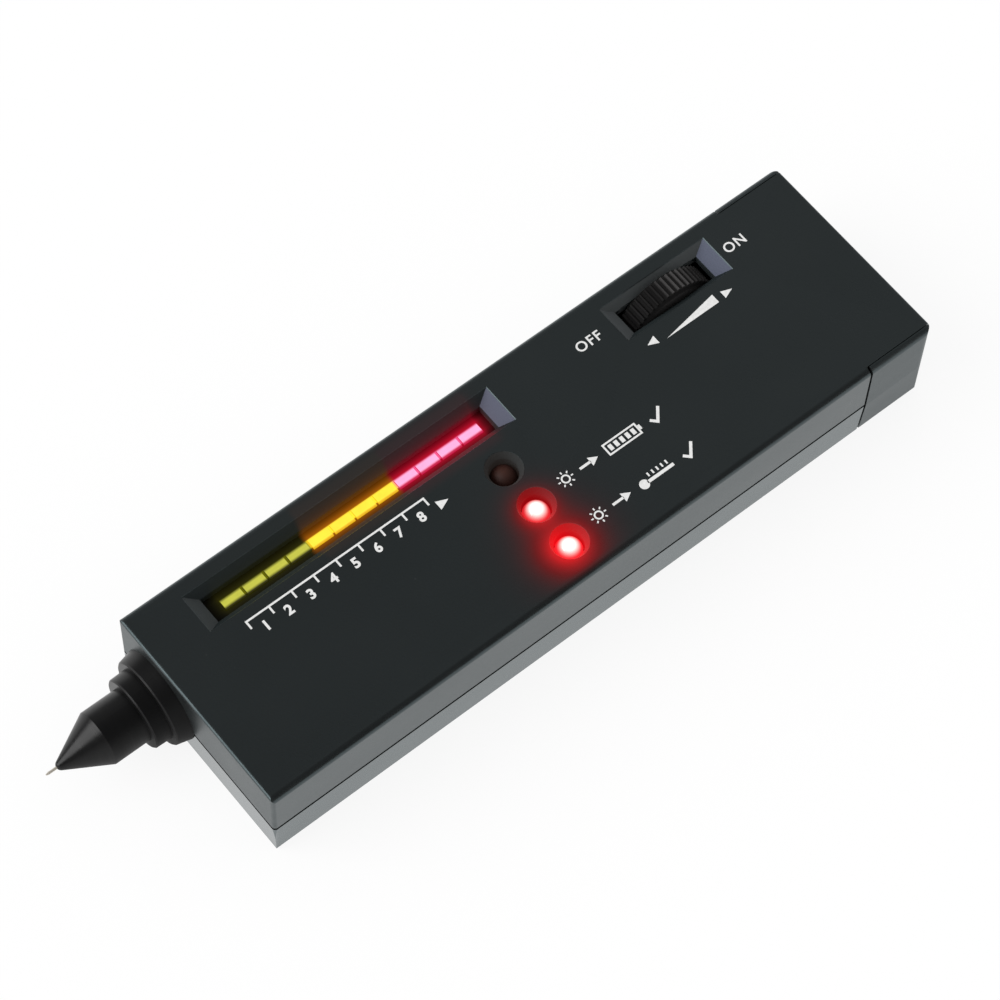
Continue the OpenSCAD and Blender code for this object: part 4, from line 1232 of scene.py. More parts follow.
@dataclass(frozen=True)
class Shape:
    """A closed surface.

    Attributes:
        points: corners in millimetres, one row each.
        faces: corner numbers of each face, seen from outside against the clock.
    """

    points: np.ndarray
    faces: list[list[int]]

    @classmethod
    def joined(cls, shapes: Sequence["Shape"]) -> "Shape":
        """Makes several shapes one.

        Args:
            shapes: the shapes in their order.

        Returns:
            All of them.
        """
        starts = np.cumsum([0] + [len(shape.points) for shape in shapes])
        faces = [[corner + start for corner in face]
                 for shape, start in zip(shapes, starts) for face in shape.faces]
        return cls(np.vstack([shape.points for shape in shapes]), faces)

    @classmethod
    def wire(cls, path: np.ndarray, outward: np.ndarray, radius: float, sides: int = 10) -> "Shape":
        """Carries a round section along a path, with a flat end at each side.

        A section's points are the path's point plus the radius times the cosine of the angle round the
        section along the way outwards, and the sine of it along the way square to that and to the run.

        Args:
            path: middles of the sections, one row each.
            outward: the way outwards at each middle, at right angles to the run.
            radius: the section's radius.
            sides: corners of a section.

        Returns:
            The wire.
        """
        run = np.gradient(path, axis=0)
        square = np.cross(run / np.linalg.norm(run, axis=1, keepdims=True), outward)
        angle = np.linspace(0.0, 2.0 * np.pi, sides, endpoint=False)[None, :, None]
        turned = np.cos(angle) * outward[:, None] + np.sin(angle) * square[:, None]
        points = path[:, None] + radius * turned
        section, corner = np.arange(len(path) - 1)[:, None] * sides, np.arange(sides)[None, :]
        after = (corner + 1) % sides
        grid = [section + corner, section + after, section + sides + after, section + sides + corner]
        last = (len(path) - 1) * sides
        ends = [list(range(sides))[::-1], list(range(last, last + sides))]
        return cls(points.reshape(-1, 3), np.stack(grid, -1).reshape(-1, 4).tolist() + ends)

    @classmethod
    def stacked(cls, rim: np.ndarray, rows: Sequence[Point]) -> "Shape":
        """Stacks copies of an outline, and closes the lowest and the highest one to their middle.

        A row's point is the outline's middle plus the row's share of the way from there to the outline's
        point, at the row's level.

        Args:
            rim: corners of the outline, against the clock. All of it can be seen from its middle.
            rows: share of the outline and level of each row, from below.

        Returns:
            The stack.
        """
        count, middle = len(rim), rim.mean(0)
        share, level = np.asarray(rows, float).T
        flat = middle + share[:, None, None] * (rim - middle)
        raised = np.broadcast_to(level[:, None, None], (len(rows), count, 1))
        walls = np.concatenate([flat, raised], axis=-1).reshape(-1, 3)
        points = np.vstack([[*middle, level[0]], walls, [*middle, level[-1]]])
        here = np.arange(count)
        there = (here + 1) % count
        row, top = 1 + count * np.arange(len(rows) - 1)[:, None], len(points) - 1
        under = np.stack([np.zeros(count, int), 1 + there, 1 + here], 1)
        grid = [row + here, row + there, row + count + there, row + count + here]
        over = np.stack([np.full(count, top), top - count + here, top - count + there], 1)
        return cls(points, under.tolist() + np.stack(grid, -1).reshape(-1, 4).tolist() + over.tolist())

    def made(self, name: str, finish: Finish, slot: str) -> bpy.types.Object:
        """Makes the shape an object that moves with nothing yet.

        Args:
            name: the piece's name.
            finish: what it is made of.
            slot: name of the record's material slot for the piece; not used.

        Returns:
            The new object.
        """
        mesh = bpy.data.meshes.new(name)
        mesh.from_pydata((self.points * MM).tolist(), [], self.faces)
        mesh.materials.append(finish.material())
        mesh.validate()
        made = placed(name, mesh)
        return made

    def piece(self, name: str, finish: Finish, body: Body, slot: str) -> bpy.types.Object:
        """Makes the shape an object that moves with a body."""
        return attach(self.made(name, finish, slot), body.value)


@dataclass(frozen=True)
class Printer:
    """Lays flat marks of ink on the top face.

    Attributes:
        face: level of the top face.
        bite: how far the ink reaches into the face.
        film: how far it stands above it.
        line: usual width of a line.
        sides: corners of a circle.
        bend: points in each bend of a character.
        ink: what the marks are made of.
        slot: the record's material slot of the print.
    """

    face: float = 21.2
    bite: float = 0.006
    film: float = 0.024
    line: float = 0.36
    sides: int = 20
    bend: int = 4
    ink: Ink = Ink("white print", (0.80, 0.80, 0.79), 0.45)
    slot: str = "print_white"

    @property
    def levels(self) -> tuple[float, float]:
        """Lower and upper level of the film."""
        return self.face - self.bite, self.face + self.film

    def printed(self, name: str, marks: Sequence[Shape]) -> bpy.types.Object:
        """Makes marks one piece on the housing."""
        return Shape.joined(marks).piece(name, self.ink, Body.HOUSING, self.slot)

    def stroke(self, path: Path, width: float | None = None, closed: bool = False) -> Shape:
        """Carries a flat four-cornered profile along a path.

        At each point the way across is square to the mean direction of the runs that meet there, and half
        the width is divided by the cosine of half the turn, so that the line keeps its width round a bend.

        Args:
            path: points on the top face.
            width: width of the line, or the usual one.
            closed: whether the last point joins the first.

        Returns:
            The line.
        """
        line = np.asarray(path, float)
        ahead = np.roll(line, -1, 0) - line
        if not closed:
            ahead[-1] = ahead[-2]
        ahead /= np.linalg.norm(ahead, axis=1, keepdims=True)
        behind = np.roll(ahead, 1, 0)
        if not closed:
            behind[0] = ahead[0]
        mean = (ahead + behind) / np.linalg.norm(ahead + behind, axis=1, keepdims=True)
        half = 0.5 * (width or self.line) / np.sum(mean * ahead, axis=1, keepdims=True)
        side = np.stack([-mean[:, 1], mean[:, 0]], 1) * half
        low, high = (np.full((len(line), 1), level) for level in self.levels)
        corners = [(line - side, low), (line + side, low), (line + side, high), (line - side, high)]
        points = np.stack([np.hstack(corner) for corner in corners], 1).reshape(-1, 3)
        run = np.arange(len(line) if closed else len(line) - 1)[:, None]
        turn = np.arange(4)[None, :]
        after, over = (run + 1) % len(line), (turn + 1) % 4
        grid = [run * 4 + turn, run * 4 + over, after * 4 + over, after * 4 + turn]
        faces = np.stack(grid, -1).reshape(-1, 4).tolist()
        if not closed:
            last = 4 * (len(line) - 1)
            faces += [[3, 2, 1, 0], [last, last + 1, last + 2, last + 3]]
        return Shape(points, faces)

    def patch(self, outline: Path) -> Shape:
        """Fills an outline, given against the clock, whose whole rim can be seen from its middle."""
        return Shape.stacked(np.asarray(outline, float), [(1.0, level) for level in self.levels])

    def circle(self, centre: Sequence[float], radius: float, sides: int | None = None) -> np.ndarray:
        """Points against the clock: the centre plus the radius turned through a full circle."""
        angle = np.linspace(0.0, 2.0 * np.pi, sides or self.sides, endpoint=False)
        return np.column_stack([np.cos(angle), np.sin(angle)]) * radius + np.asarray(centre)

    def lettering(self, text: str, centre: Point, height: float, weight: float = 0.034,
                  spread: float = 1.0) -> Shape:
        """Sets plain characters, as the built-in font draws them, with their places applied to the points.

        Args:
            text: the characters.
            centre: middle of their box.
            height: height of their box.
            weight: how much fatter than the font they are, in parts of its size.
            spread: distance between characters, in parts of the font's own.

        Returns:
            The characters.
        """
        curve = bpy.data.curves.new("characters", "FONT")
        curve.body = text
        curve.offset = weight
        curve.space_character = spread
        curve.extrude = 0.1  # any thickness: the levels below replace it
        curve.resolution_u = self.bend
        setting = placed("characters", curve)
        drawn = setting.evaluated_get(bpy.context.evaluated_depsgraph_get())
        mesh = bpy.data.meshes.new_from_object(drawn)
        flat = np.empty(3 * len(mesh.vertices))
        mesh.vertices.foreach_get("co", flat)
        points = flat.reshape(-1, 3)
        faces = [list(face.vertices) for face in mesh.polygons]
        low, high = points.min(0), points.max(0)
        middle, scale = 0.5 * (low + high)[:2], height / (high - low)[1]
        points[:, :2] = (points[:, :2] - middle) * scale + np.asarray(centre)
        points[:, 2] = np.where(points[:, 2] > 0.0, self.levels[1], self.levels[0])
        bpy.data.objects.remove(setting)
        bpy.data.curves.remove(curve)
        bpy.data.meshes.remove(mesh)
        return self.welded(points, faces)

    @staticmethod
    def welded(points: np.ndarray, faces: list[list[int]]) -> Shape:
        """Joins corners that lie within a thousandth of a millimetre, so that the walls meet the faces.

        Args:
            points: the corners.
            faces: corner numbers of each face.

        Returns:
            The closed shape.
        """
        _, first, number = np.unique(np.round(points, 3), axis=0, return_index=True, return_inverse=True)
        number = number.reshape(-1)
        kept = [[int(number[corner]) for corner in face] for face in faces]
        return Shape(points[first], [face for face in kept if len(set(face)) == len(face)])


@dataclass(frozen=True)
class Line:
    """A line of a printed sign, or a row of the same line along the length.

    Attributes:
        path: its points, from the sign's place.
        width: its width.
        closed: whether its last point joins the first.
        copies: how many lines are in the row.
        pitch: distance between them.
    """

    path: tuple[Point, ...]
    width: float
    closed: bool = False
    copies: int = 1
    pitch: float = 1.0

    def drawn(self, printer: Printer, place: Point) -> list[Shape]:
        """Prints the row at a sign's place."""
        starts = np.outer(np.arange(self.copies) * self.pitch, (1.0, 0.0)) + place
        return [printer.stroke(start + np.array(self.path), self.width, self.closed) for start in starts]


@dataclass(frozen=True)
class SignRow:
    """The signs beside a lit lamp: a lamp, an arrow, what it reports, and a tick.

    Attributes:
        ring, ring_line: radius and line of the lamp's ring.
        rays, ray_ends, ray_line: number of its rays, the radii of their ends, and their line.
        shaft, head: line of the arrow, and outline of its point.
        case, contact, bars: lines of the battery.
        bulb, bulb_radius, stem, marks: the lying thermometer's bulb and lines.
        tick: line of the tick.
        arrow_at, report_at, tick_at: how far behind the lamp's middle these begin.
    """

    ring: float = 0.72
    ring_line: float = 0.3
    rays: int = 8
    ray_ends: Point = (1.12, 1.58)
    ray_line: float = 0.26
    shaft: Line = Line(((0.0, 0.0), (2.4, 0.0)), 0.5)
    head: tuple[Point, ...] = ((2.3, -0.95), (4.0, 0.0), (2.3, 0.95))
    case: Line = Line(((0.0, -1.1), (7.0, -1.1), (7.0, 1.1), (0.0, 1.1)), 0.34, closed=True)
    contact: Line = Line(((7.4, -0.5), (7.4, 0.5)), 0.5)
    bars: Line = Line(((1.0, -0.6), (1.0, 0.6)), 0.75, copies=5, pitch=1.25)
    bulb: Point = (0.9, -0.3)
    bulb_radius: float = 0.95
    stem: Line = Line(((1.6, -0.3), (7.4, -0.3)), 0.62)
    marks: Line = Line(((2.6, 0.4), (2.6, 1.2)), 0.32, copies=5)
    tick: Line = Line(((0.0, -0.1), (1.0, -1.1), (2.9, 1.25)), 0.55)
    arrow_at: float = 3.1
    report_at: float = 9.0
    tick_at: float = 18.6

    def lamp(self, printer: Printer, place: Point) -> list[Shape]:
        """Prints a ring with rays, each a short line that points away from the middle.

        Args:
            printer: what lays the ink.
            place: middle of the ring.

        Returns:
            The ring and the rays.
        """
        ring = printer.stroke(printer.circle(place, self.ring), self.ring_line, closed=True)
        ends = (printer.circle(place, radius, self.rays) for radius in self.ray_ends)
        return [ring] + [printer.stroke(ray, self.ray_line) for ray in zip(*ends)]

    def reported(self, printer: Printer, report: Report, place: Point) -> list[Shape]:
        """Prints what the lamp reports.

        Args:
            printer: what lays the ink.
            report: a battery, or heat for a lying thermometer.
            place: the sign's left end.

        Returns:
            The sign.
        """
        if report is Report.BATTERY:
            start, lines = [], (self.case, self.contact, self.bars)
        else:
            bulb = printer.circle(np.add(place, self.bulb), self.bulb_radius)
            start, lines = [printer.patch(bulb)], (self.stem, self.marks)
        return start + [shape for line in lines for shape in line.drawn(printer, place)]

    def drawn(self, printer: Printer, report: Report, place: Point) -> list[Shape]:
        """Prints the row.

        Args:
            printer: what lays the ink.
            report: what the lamp reports.
            place: middle of the first sign.

        Returns:
            All of its signs.
        """
        arrow, subject, tick = ((place[0] + shift, place[1])
                                for shift in (self.arrow_at, self.report_at, self.tick_at))
        return [*self.lamp(printer, place), *self.shaft.drawn(printer, arrow),
                printer.patch(np.add(self.head, arrow)), *self.reported(printer, report, subject),
                *self.tick.drawn(printer, tick)]


class Unit(ABC):
    """A sub-assembly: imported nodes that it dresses, and pieces that it builds."""

    @abstractmethod
    def dress(self) -> None:
        """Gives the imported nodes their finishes."""

    def build(self, printer: Printer) -> list[bpy.types.Object]:
        """Builds the added pieces, of which there are none unless the unit has its own."""
        return []


@dataclass(frozen=True)
class FoamPad:
    """The pad inside the door that keeps the battery still: flat on the door, crowned towards the battery.

    Attributes:
        square: power in the outline's formula, from 2 for an oval towards a sharp rectangle.
        corners: corners of the outline.
        profile: share of the outline and of the thickness at each row, from the battery's side.
        fill: how tight the foam is.
    """

    square: float = 7.0
    corners: int = 56
    profile: tuple[Point, ...] = ((0.35, 0.0), (0.66, 0.04), (0.84, 0.11), (0.93, 0.22), (0.96, 0.38),
                                  (0.955, 0.6), (0.965, 0.82), (1.0, 1.0))
    fill: float = 0.9

    def form(self, low: np.ndarray, high: np.ndarray) -> Shape:
        """Stacks the outline along the length, between two corners.

        The outline's point at an angle is half the width times the cosine, and half the height times the
        sine, each raised to two over the power with its sign kept. The sides draw in between the two faces.

        Args:
            low: lowest corner of the space.
            high: highest corner of the space.

        Returns:
            The pad.
        """
        angle = np.linspace(0.0, 2.0 * np.pi, self.corners, endpoint=False)
        round_way = np.column_stack([np.cos(angle), np.sin(angle)])
        outline = np.sign(round_way) * np.abs(round_way) ** (2.0 / self.square)
        rim = 0.5 * (low + high)[1:] + 0.5 * (high - low)[1:] * outline
        rows = [(share, low[0] + depth * (high - low)[0]) for share, depth in self.profile]
        stack = Shape.stacked(rim, rows)
        return Shape(stack.points[:, [2, 0, 1]], stack.faces)

    def build(self) -> bpy.types.Object:
        """Puts the pad in the plain block's place on the door.

        Returns:
            The pad.
        """
        finish = Foam("black foam", (0.05, 0.05, 0.055), 0.9)
        pad = self.form(*packed_box("door_pad")).piece("foam_pad", finish, Body.DOOR, "pad_foam")
        pad.data.shade_smooth()
        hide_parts("door_pad")
        return pad


@dataclass
class Housing(Unit):
    """The two shells with their screws, and the sliding battery door.

    Attributes:
        halos: the lit lamps, whose glow is painted on the top.
        bar: the light bar's glow, painted on its slot.
        pad: the foam on the door.
        black: colour of the plastic.
        shadow: tone of the painted shade on the recesses' near faces.
        slope: length of the recesses' end faces and width of their side faces.
    """

    halos: tuple[Halo, ...]
    bar: BarLight
    pad: FoamPad = FoamPad()
    black: Colour = (0.0110, 0.0114, 0.0114)
    shadow: float = 0.1
    slope: Point = (2.7, 1.5)

    def recesses(self) -> tuple[Recess, Recess]:
        """Describes the two recesses of the top.

        Returns:
            The light bar's slot and the wheel's window.
        """
        # Painted shade on the near faces, a painted reflection on the bluish rear faces, lighter front and
        # far faces.
        dark = shaded(self.black, self.shadow)
        slot = Recess(middle=(-29.15, 13.8), half=(30.05, 2.6), slope=self.slope,
                      front=(0.040, 0.040, 0.040), rear=(0.088, 0.088, 0.128), near=dark, far=self.black)
        window = Recess(middle=(40.7, 13.8), half=(9.3, 2.6), slope=self.slope,
                        front=(0.072, 0.072, 0.074), rear=(0.085, 0.089, 0.130), near=dark,
                        far=(0.060, 0.060, 0.060))
        return slot, window

    def dress(self) -> None:
        """Gives the shells, the door and the screws their finishes."""
        # The top shell carries the lamps' painted glow and the recesses' painted shade and reflections.
        HousingPlastic("black housing, lit", self.black, 0.30, index=1.46, recesses=self.recesses(),
                       front=0.09, halos=self.halos, bar=self.bar).dress("top_shell")
        HousingPlastic("black housing", self.black, 0.26, depth=0.004, index=1.62,
                       front=-0.12).dress("bottom_shell")
        # The door's edges are paled more strongly: rub wear and a painted highlight.
        HousingPlastic("black door", self.black, 0.42, wear=1.0, depth=0.01).dress("battery_door")
        screws = Metal("zinc screw", (0.60, 0.60, 0.61), 0.32, marks=(1.0, 1.0, 0.1))
        screws.dress("shell_screws", "board_screws")

    def build(self, printer: Printer) -> list[bpy.types.Object]:
        """Builds the door's pad."""
        return [self.pad.build()]


@dataclass
class LightBar(Unit):
    """The row of rectangular lamps, their holder and the scale printed beside them.

    Attributes:
        line: place of the row across the width.
        first: middle of the first lamp.
        pitch: distance between lamps.
        length, width, top: size and level of a lamp's face.
        scale_from, scale_to, scale_line: ends and place of the scale's line.
        steps: divisions of the scale.
        tick: length of a division mark.
        figure, figure_line: height and place of the figures.
        pointer: outline of the pointer at the scale's end.
    """

    line: float = 13.95
    first: float = -54.325
    pitch: float = 4.65
    length: float = 4.2
    width: float = 2.0
    top: float = 17.7
    scale_from: float = -56.15
    scale_to: float = -18.55
    scale_line: float = 7.5
    steps: int = 8
    tick: float = 1.6
    figure: float = 2.05
    figure_line: float = 4.95
    pointer: tuple[Point, ...] = ((-17.4, 3.9), (-15.2, 4.85), (-17.4, 5.8))

    def dress(self) -> None:
        """Lights the three groups of lamps and the holder between them."""
        faces = {
            "green": ((0.46, 0.46, 0.050), (0.020, 0.018, 0.0), 0.96, 0.32),
            "yellow": ((0.95, 0.70, 0.037), (0.72, 0.40, 0.008), 0.98, 0.66),
            "red": ((0.96, 0.37, 0.62), (0.50, 0.01, 0.06), 0.98, 0.46),
        }
        for colour, (face, rim, end_from, side_from) in faces.items():
            LitBlock(f"{colour} lamp face", face, 0.35, rim=rim, first=self.first, line=self.line,
                     pitch=self.pitch, length=self.length, width=self.width, top=self.top,
                     end_from=end_from, side_from=side_from).dress(f"bar_leds_{colour}")
        LitHolder("matt black holder", (0.003, 0.003, 0.003), 0.75).dress("bar_holder")

    def build(self, printer: Printer) -> list[bpy.types.Object]:
        """Prints the scale: a line with division marks, plain figures and a pointer.

        Args:
            printer: what lays the ink.

        Returns:
            The printed pieces.
        """
        stops = np.linspace(self.scale_from, self.scale_to, self.steps + 1)
        half = 0.5 * printer.line
        end = self.scale_line - self.tick
        marks = [printer.stroke([(stops[0] - half, self.scale_line), (stops[-1] + half, self.scale_line)])]
        marks += [printer.stroke([(stop, self.scale_line - half), (stop, end)]) for stop in stops]
        middles = 0.5 * (stops[1:] + stops[:-1])
        figures = [printer.lettering(str(number), (middle, self.figure_line), self.figure)
                   for number, middle in enumerate(middles, start=1)]
        pointer = [printer.patch(self.pointer)]
        marked = {"scale_line": marks, "scale_figures": figures, "scale_pointer": pointer}
        return [printer.printed(name, shapes) for name, shapes in marked.items()]


@dataclass
class RoundLamps(Unit):
    """The three round lamps and the signs printed beside the two that report.

    Attributes:
        along: place of the lamps along the length.
        alert, battery, ready: their places across the width.
        battery_lean, ready_lean: how far the painted glow's middle lies from the lamp's own.
        hole: radius of the painted bright ring round a lamp.
        rim: level of the lamp holes' edge.
        signs: the signs beside a lamp.
        sign_from, sign_shift: where the signs begin, and how far they stand off the lamp's middle.
    """

    along: float = -4.1
    alert: float = 3.5
    battery: float = -5.3
    ready: float = -14.1
    battery_lean: Point = (-0.7, -0.9)
    ready_lean: Point = (-1.0, -0.5)
    hole: float = 3.6
    rim: float = 21.15
    signs: SignRow = SignRow()
    sign_from: float = 2.9
    sign_shift: float = 0.75

    def halos(self) -> tuple[Halo, ...]:
        """Describes the lamps' glow, painted on the housing.

        Returns:
            A wide and a close painted glow of each lit lamp, and a faint painted glow in the dark one's
            hole.
        """
        battery, ready, alert = ((self.along, across) for across in (self.battery, self.ready, self.alert))
        wide_battery = tuple(np.add(battery, self.battery_lean).tolist())
        wide_ready = tuple(np.add(ready, self.ready_lean).tolist())
        # Painted glow: the housing itself gives off these lamps' light.
        return (Halo(wide_battery, strength=0.37, full=2.5, reach=1.15),
                Halo(battery, strength=0.14, full=self.hole, reach=0.2, below=self.rim),
                Halo(wide_ready, strength=0.60, full=2.8, reach=1.75),
                Halo(ready, strength=0.22, full=self.hole, reach=0.2, below=self.rim),
                Halo(alert, strength=0.014, full=self.hole, reach=0.1, below=self.rim,
                     tint=(1.0, 0.75, 0.65)))

    def dress(self) -> None:
        """Lights two lamps and leaves one dark."""
        LampLens("dark red lens", (0.034, 0.006, 0.002), 0.62, centre=(self.along, self.alert),
                 core=(0.080, 0.014, 0.003), core_radius=0.2, rim_radius=2.2, lit=0.0,
                 gloss=0.0).dress("alert_lamp")
        for node, across, red in (("battery_lamp", self.battery, 0.55), ("ready_lamp", self.ready, 0.75)):
            LampLens(f"lit red lens {node}", (red, 0.020, 0.028), 0.15, centre=(self.along, across),
                     core=(1.0, 0.90, 0.85), core_radius=0.8, rim_radius=2.25, lit=1.0).dress(node)

    def build(self, printer: Printer) -> list[bpy.types.Object]:
        """Prints a row of signs beside each lit lamp.

        Args:
            printer: what lays the ink.

        Returns:
            The printed pieces.
        """
        made = []
        for report, lamp in ((Report.BATTERY, self.battery), (Report.HEAT, self.ready)):
            signs = self.signs.drawn(printer, report, (self.sign_from, lamp + self.sign_shift))
            made.append(printer.printed(report.value, signs))
        return made


@dataclass
class WheelControl(Unit):
    """The thumbwheel with its switched control, and the marks printed round its recess.

    Attributes:
        axle: the wheel's axis along the length and the height.
        crest, root: radii of its grooved rim.
        off, on: middles of the two switch words.
        word, weight, spread: height, added fatness and spacing of the words.
        left_arrow, right_arrow, wedge: outlines of the marks beside the wheel.
    """

    axle: Point = (40.7, 12.4)
    crest: float = 10.0
    root: float = 9.4
    off: Point = (23.2, 13.95)
    on: Point = (56.2, 13.5)
    word: float = 2.05
    weight: float = 0.014
    spread: float = 1.15
    left_arrow: tuple[Point, ...] = ((30.8, 7.0), (32.8, 6.1), (32.8, 7.9))
    right_arrow: tuple[Point, ...] = ((49.9, 6.7), (47.8, 7.5), (47.8, 5.9))
    wedge: tuple[Point, ...] = ((34.4, 6.0), (46.3, 6.0), (46.3, 7.9))

    def dress(self) -> None:
        """Gives the wheel and the control behind it their finishes."""
        GroovedRim("black wheel", (0.0075, 0.0072, 0.0072), 0.62, axle=self.axle, crest=self.crest,
                   root=self.root).dress("thumbwheel")
        Metal("turned shaft", (0.70, 0.70, 0.69), 0.28, marks=(1.0, 0.08, 1.0)).dress("pot_shaft")
        Metal("zinc wheel screw", (0.62, 0.62, 0.63), 0.3, marks=(1.0, 0.1, 1.0)).dress("wheel_screw")
        Moulded("grey control case", (0.25, 0.24, 0.22), 0.5).dress("pot_case")
        Metal("tinned contacts", (0.76, 0.76, 0.73), 0.3, tarnish=0.5).dress("pot_terminals")

    def build(self, printer: Printer) -> list[bpy.types.Object]:
        """Prints the switch words, the two arrows and the level wedge.

        Args:
            printer: what lays the ink.

        Returns:
            The printed pieces.
        """
        words = [printer.lettering(word, middle, self.word, self.weight, self.spread)
                 for word, middle in (("OFF", self.off), ("ON", self.on))]
        arrows = [printer.patch(outline) for outline in (self.left_arrow, self.right_arrow)]
        marked = {"switch_words": words, "turn_arrows": arrows, "level_wedge": [printer.patch(self.wedge)]}
        return [printer.printed(name, shapes) for name, shapes in marked.items()]


@dataclass(frozen=True)
class ReturnSpring:
    """The coil that pushes the needle out: one wire with a closed turn at each end.

    Attributes:
        turns: turns between the outermost ones.
        wire: diameter of the wire.
        closed: pitch of a closed turn, in wires.
        shut, opening: turns that stay closed at each end, and turns in which the pitch then opens.
        steps: sections in a turn.
    """

    turns: int = 7
    wire: float = 0.4
    closed: float = 1.06
    shut: float = 0.75
    opening: float = 0.5
    steps: int = 24

    def coil(self, low: np.ndarray, high: np.ndarray) -> Shape:
        """Winds the wire between two corners, along the length.

        The wire's middle goes round at an even radius. Its place along the length is the running sum of the
        pitch, which is that of a closed turn near both ends and climbs within half a turn to the open one.
        The open pitch is what makes the sum fill the length.

        Args:
            low: lowest corner of the space.
            high: highest corner of the space.

        Returns:
            The coil.
        """
        turn = np.arange((self.turns + 2) * self.steps + 1) / self.steps
        opened = np.clip((np.minimum(turn, turn[-1] - turn) - self.shut) / self.opening, 0.0, 1.0)
        pitch = self.closed * self.wire
        spare = (high - low)[0] - self.wire - pitch * turn[-1]
        between = np.cumsum(0.5 * (opened[1:] + opened[:-1]))
        along = pitch * turn + spare * np.concatenate([[0.0], between / between[-1]])
        angle = 2.0 * np.pi * turn
        outward = np.stack([np.zeros_like(turn), np.cos(angle), np.sin(angle)], 1)
        half = 0.5 * self.wire
        middle = np.array([low[0] + half, *(0.5 * (low + high))[1:]])
        path = middle + outward * (0.5 * (high - low)[1] - half)
        path[:, 0] += along
        return Shape.wire(path, outward, half)

    def build(self) -> bpy.types.Object:
        """Puts the coil in the plain spring's place, its front end on the needle and its rear on the guide.

        Returns:
            The coil.
        """
        low, high = packed_box("probe_spring")
        finish = Metal("spring wire", (0.62, 0.62, 0.64), 0.3)
        spring = self.coil(low, high).made("return_spring", finish, "spring_steel")
        spring.data.shade_smooth()
        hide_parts("probe_spring")
        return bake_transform(spring)


@dataclass
class Probe(Unit):
    """The turned nose with its collar and nut, and the sprung, heated needle.

    Attributes:
        black: colour of the turned plastic.
        spring: what pushes the needle out.
    """

    black: Colour = (0.0050, 0.0050, 0.0052)
    spring: ReturnSpring = ReturnSpring()

    def dress(self) -> None:
        """Gives the probe's pieces their finishes."""
        TurnedPlastic("turned black nose", self.black, 0.30).dress("probe_nose")
        TurnedPlastic("turned black collar", self.black, 0.34, mirror=0.25).dress("probe_collar")
        Metal("brass nut", (0.62, 0.50, 0.27), 0.3, marks=(0.1, 1.0, 1.0)).dress("probe_nut")
        Metal("needle alloy", (0.56, 0.52, 0.45), 0.42, tarnish=0.2, bare=0.4).dress("probe_needle")
        Metal("brass heater", (0.58, 0.44, 0.25), 0.34).dress("heater")
        Moulded("cream insulator", (0.74, 0.70, 0.60), 0.5).dress("probe_guide", "needle_carrier")
        Insulation("white lead", (0.78, 0.78, 0.74), 0.5).dress("probe_leads")

    def build(self, printer: Printer) -> list[bpy.types.Object]:
        """Winds the needle's spring."""
        return [self.spring.build()]


@dataclass
class CircuitBoard(Unit):
    """The lacquered board and the parts that stand on it.

    Attributes:
        bands: colours of a resistor's bands.
    """

    bands: tuple[Colour, ...] = ((0.18, 0.06, 0.02), (0.01, 0.01, 0.01), (0.6, 0.12, 0.01),
                                 (0.55, 0.38, 0.07))

    def dress(self) -> None:
        """Gives the board and its parts their finishes."""
        BoardLacquer("green board lacquer", (0.012, 0.090, 0.030), 0.28).dress("main_board")
        Moulded("black chip body", (0.022, 0.022, 0.023), 0.55, grain=0.2).dress("chips", "transistors")
        Moulded("black buzzer case", (0.018, 0.018, 0.018), 0.4).dress("buzzer")
        Sleeve("blue can sleeve", (0.02, 0.035, 0.17), 0.3, stripe=(0.55, 0.57, 0.6), line=-1.5,
               half=0.6).dress("capacitors")
        Moulded("blue trimmer case", (0.03, 0.12, 0.45), 0.32, gloss=0.3).dress("trimmers")
        Banded("tan resistor lacquer", (0.55, 0.38, 0.22), 0.35, axis=Axis.LENGTH, start=-46.6, band=0.5,
               gap=0.6, bands=self.bands, repeat=11.0).dress("resistors")


@dataclass
class BatteryBay(Unit):
    """The nine-volt block with its snap connector and leads.

    Attributes:
        middle, half: middle and half size of the block across the width and the height.
        band_from, band_to: ends of the metal-coloured band.
    """

    middle: Point = (-5.8, 10.45)
    half: Point = (13.25, 8.75)
    band_from: float = 23.0
    band_to: float = 36.0

    def dress(self) -> None:
        """Gives the battery and its connector their finishes."""
        BatteryJacket("battery jacket", (0.028, 0.028, 0.031), 0.34, band=(0.62, 0.40, 0.20),
                      band_from=self.band_from, band_to=self.band_to, middle=self.middle,
                      half=self.half).dress("battery_case")
        tin = Metal("tinned snap contact", (0.78, 0.78, 0.76), 0.26, tarnish=0.35)
        tin.dress("battery_plus", "battery_minus", "snap_socket", "snap_stud")
        Insulation("black snap cover", (0.020, 0.020, 0.020), 0.55).dress("snap_cover")
        Insulation("red lead", (0.50, 0.020, 0.015), 0.45).dress("red_lead")
        Insulation("black lead", (0.018, 0.018, 0.018), 0.45).dress("black_lead")


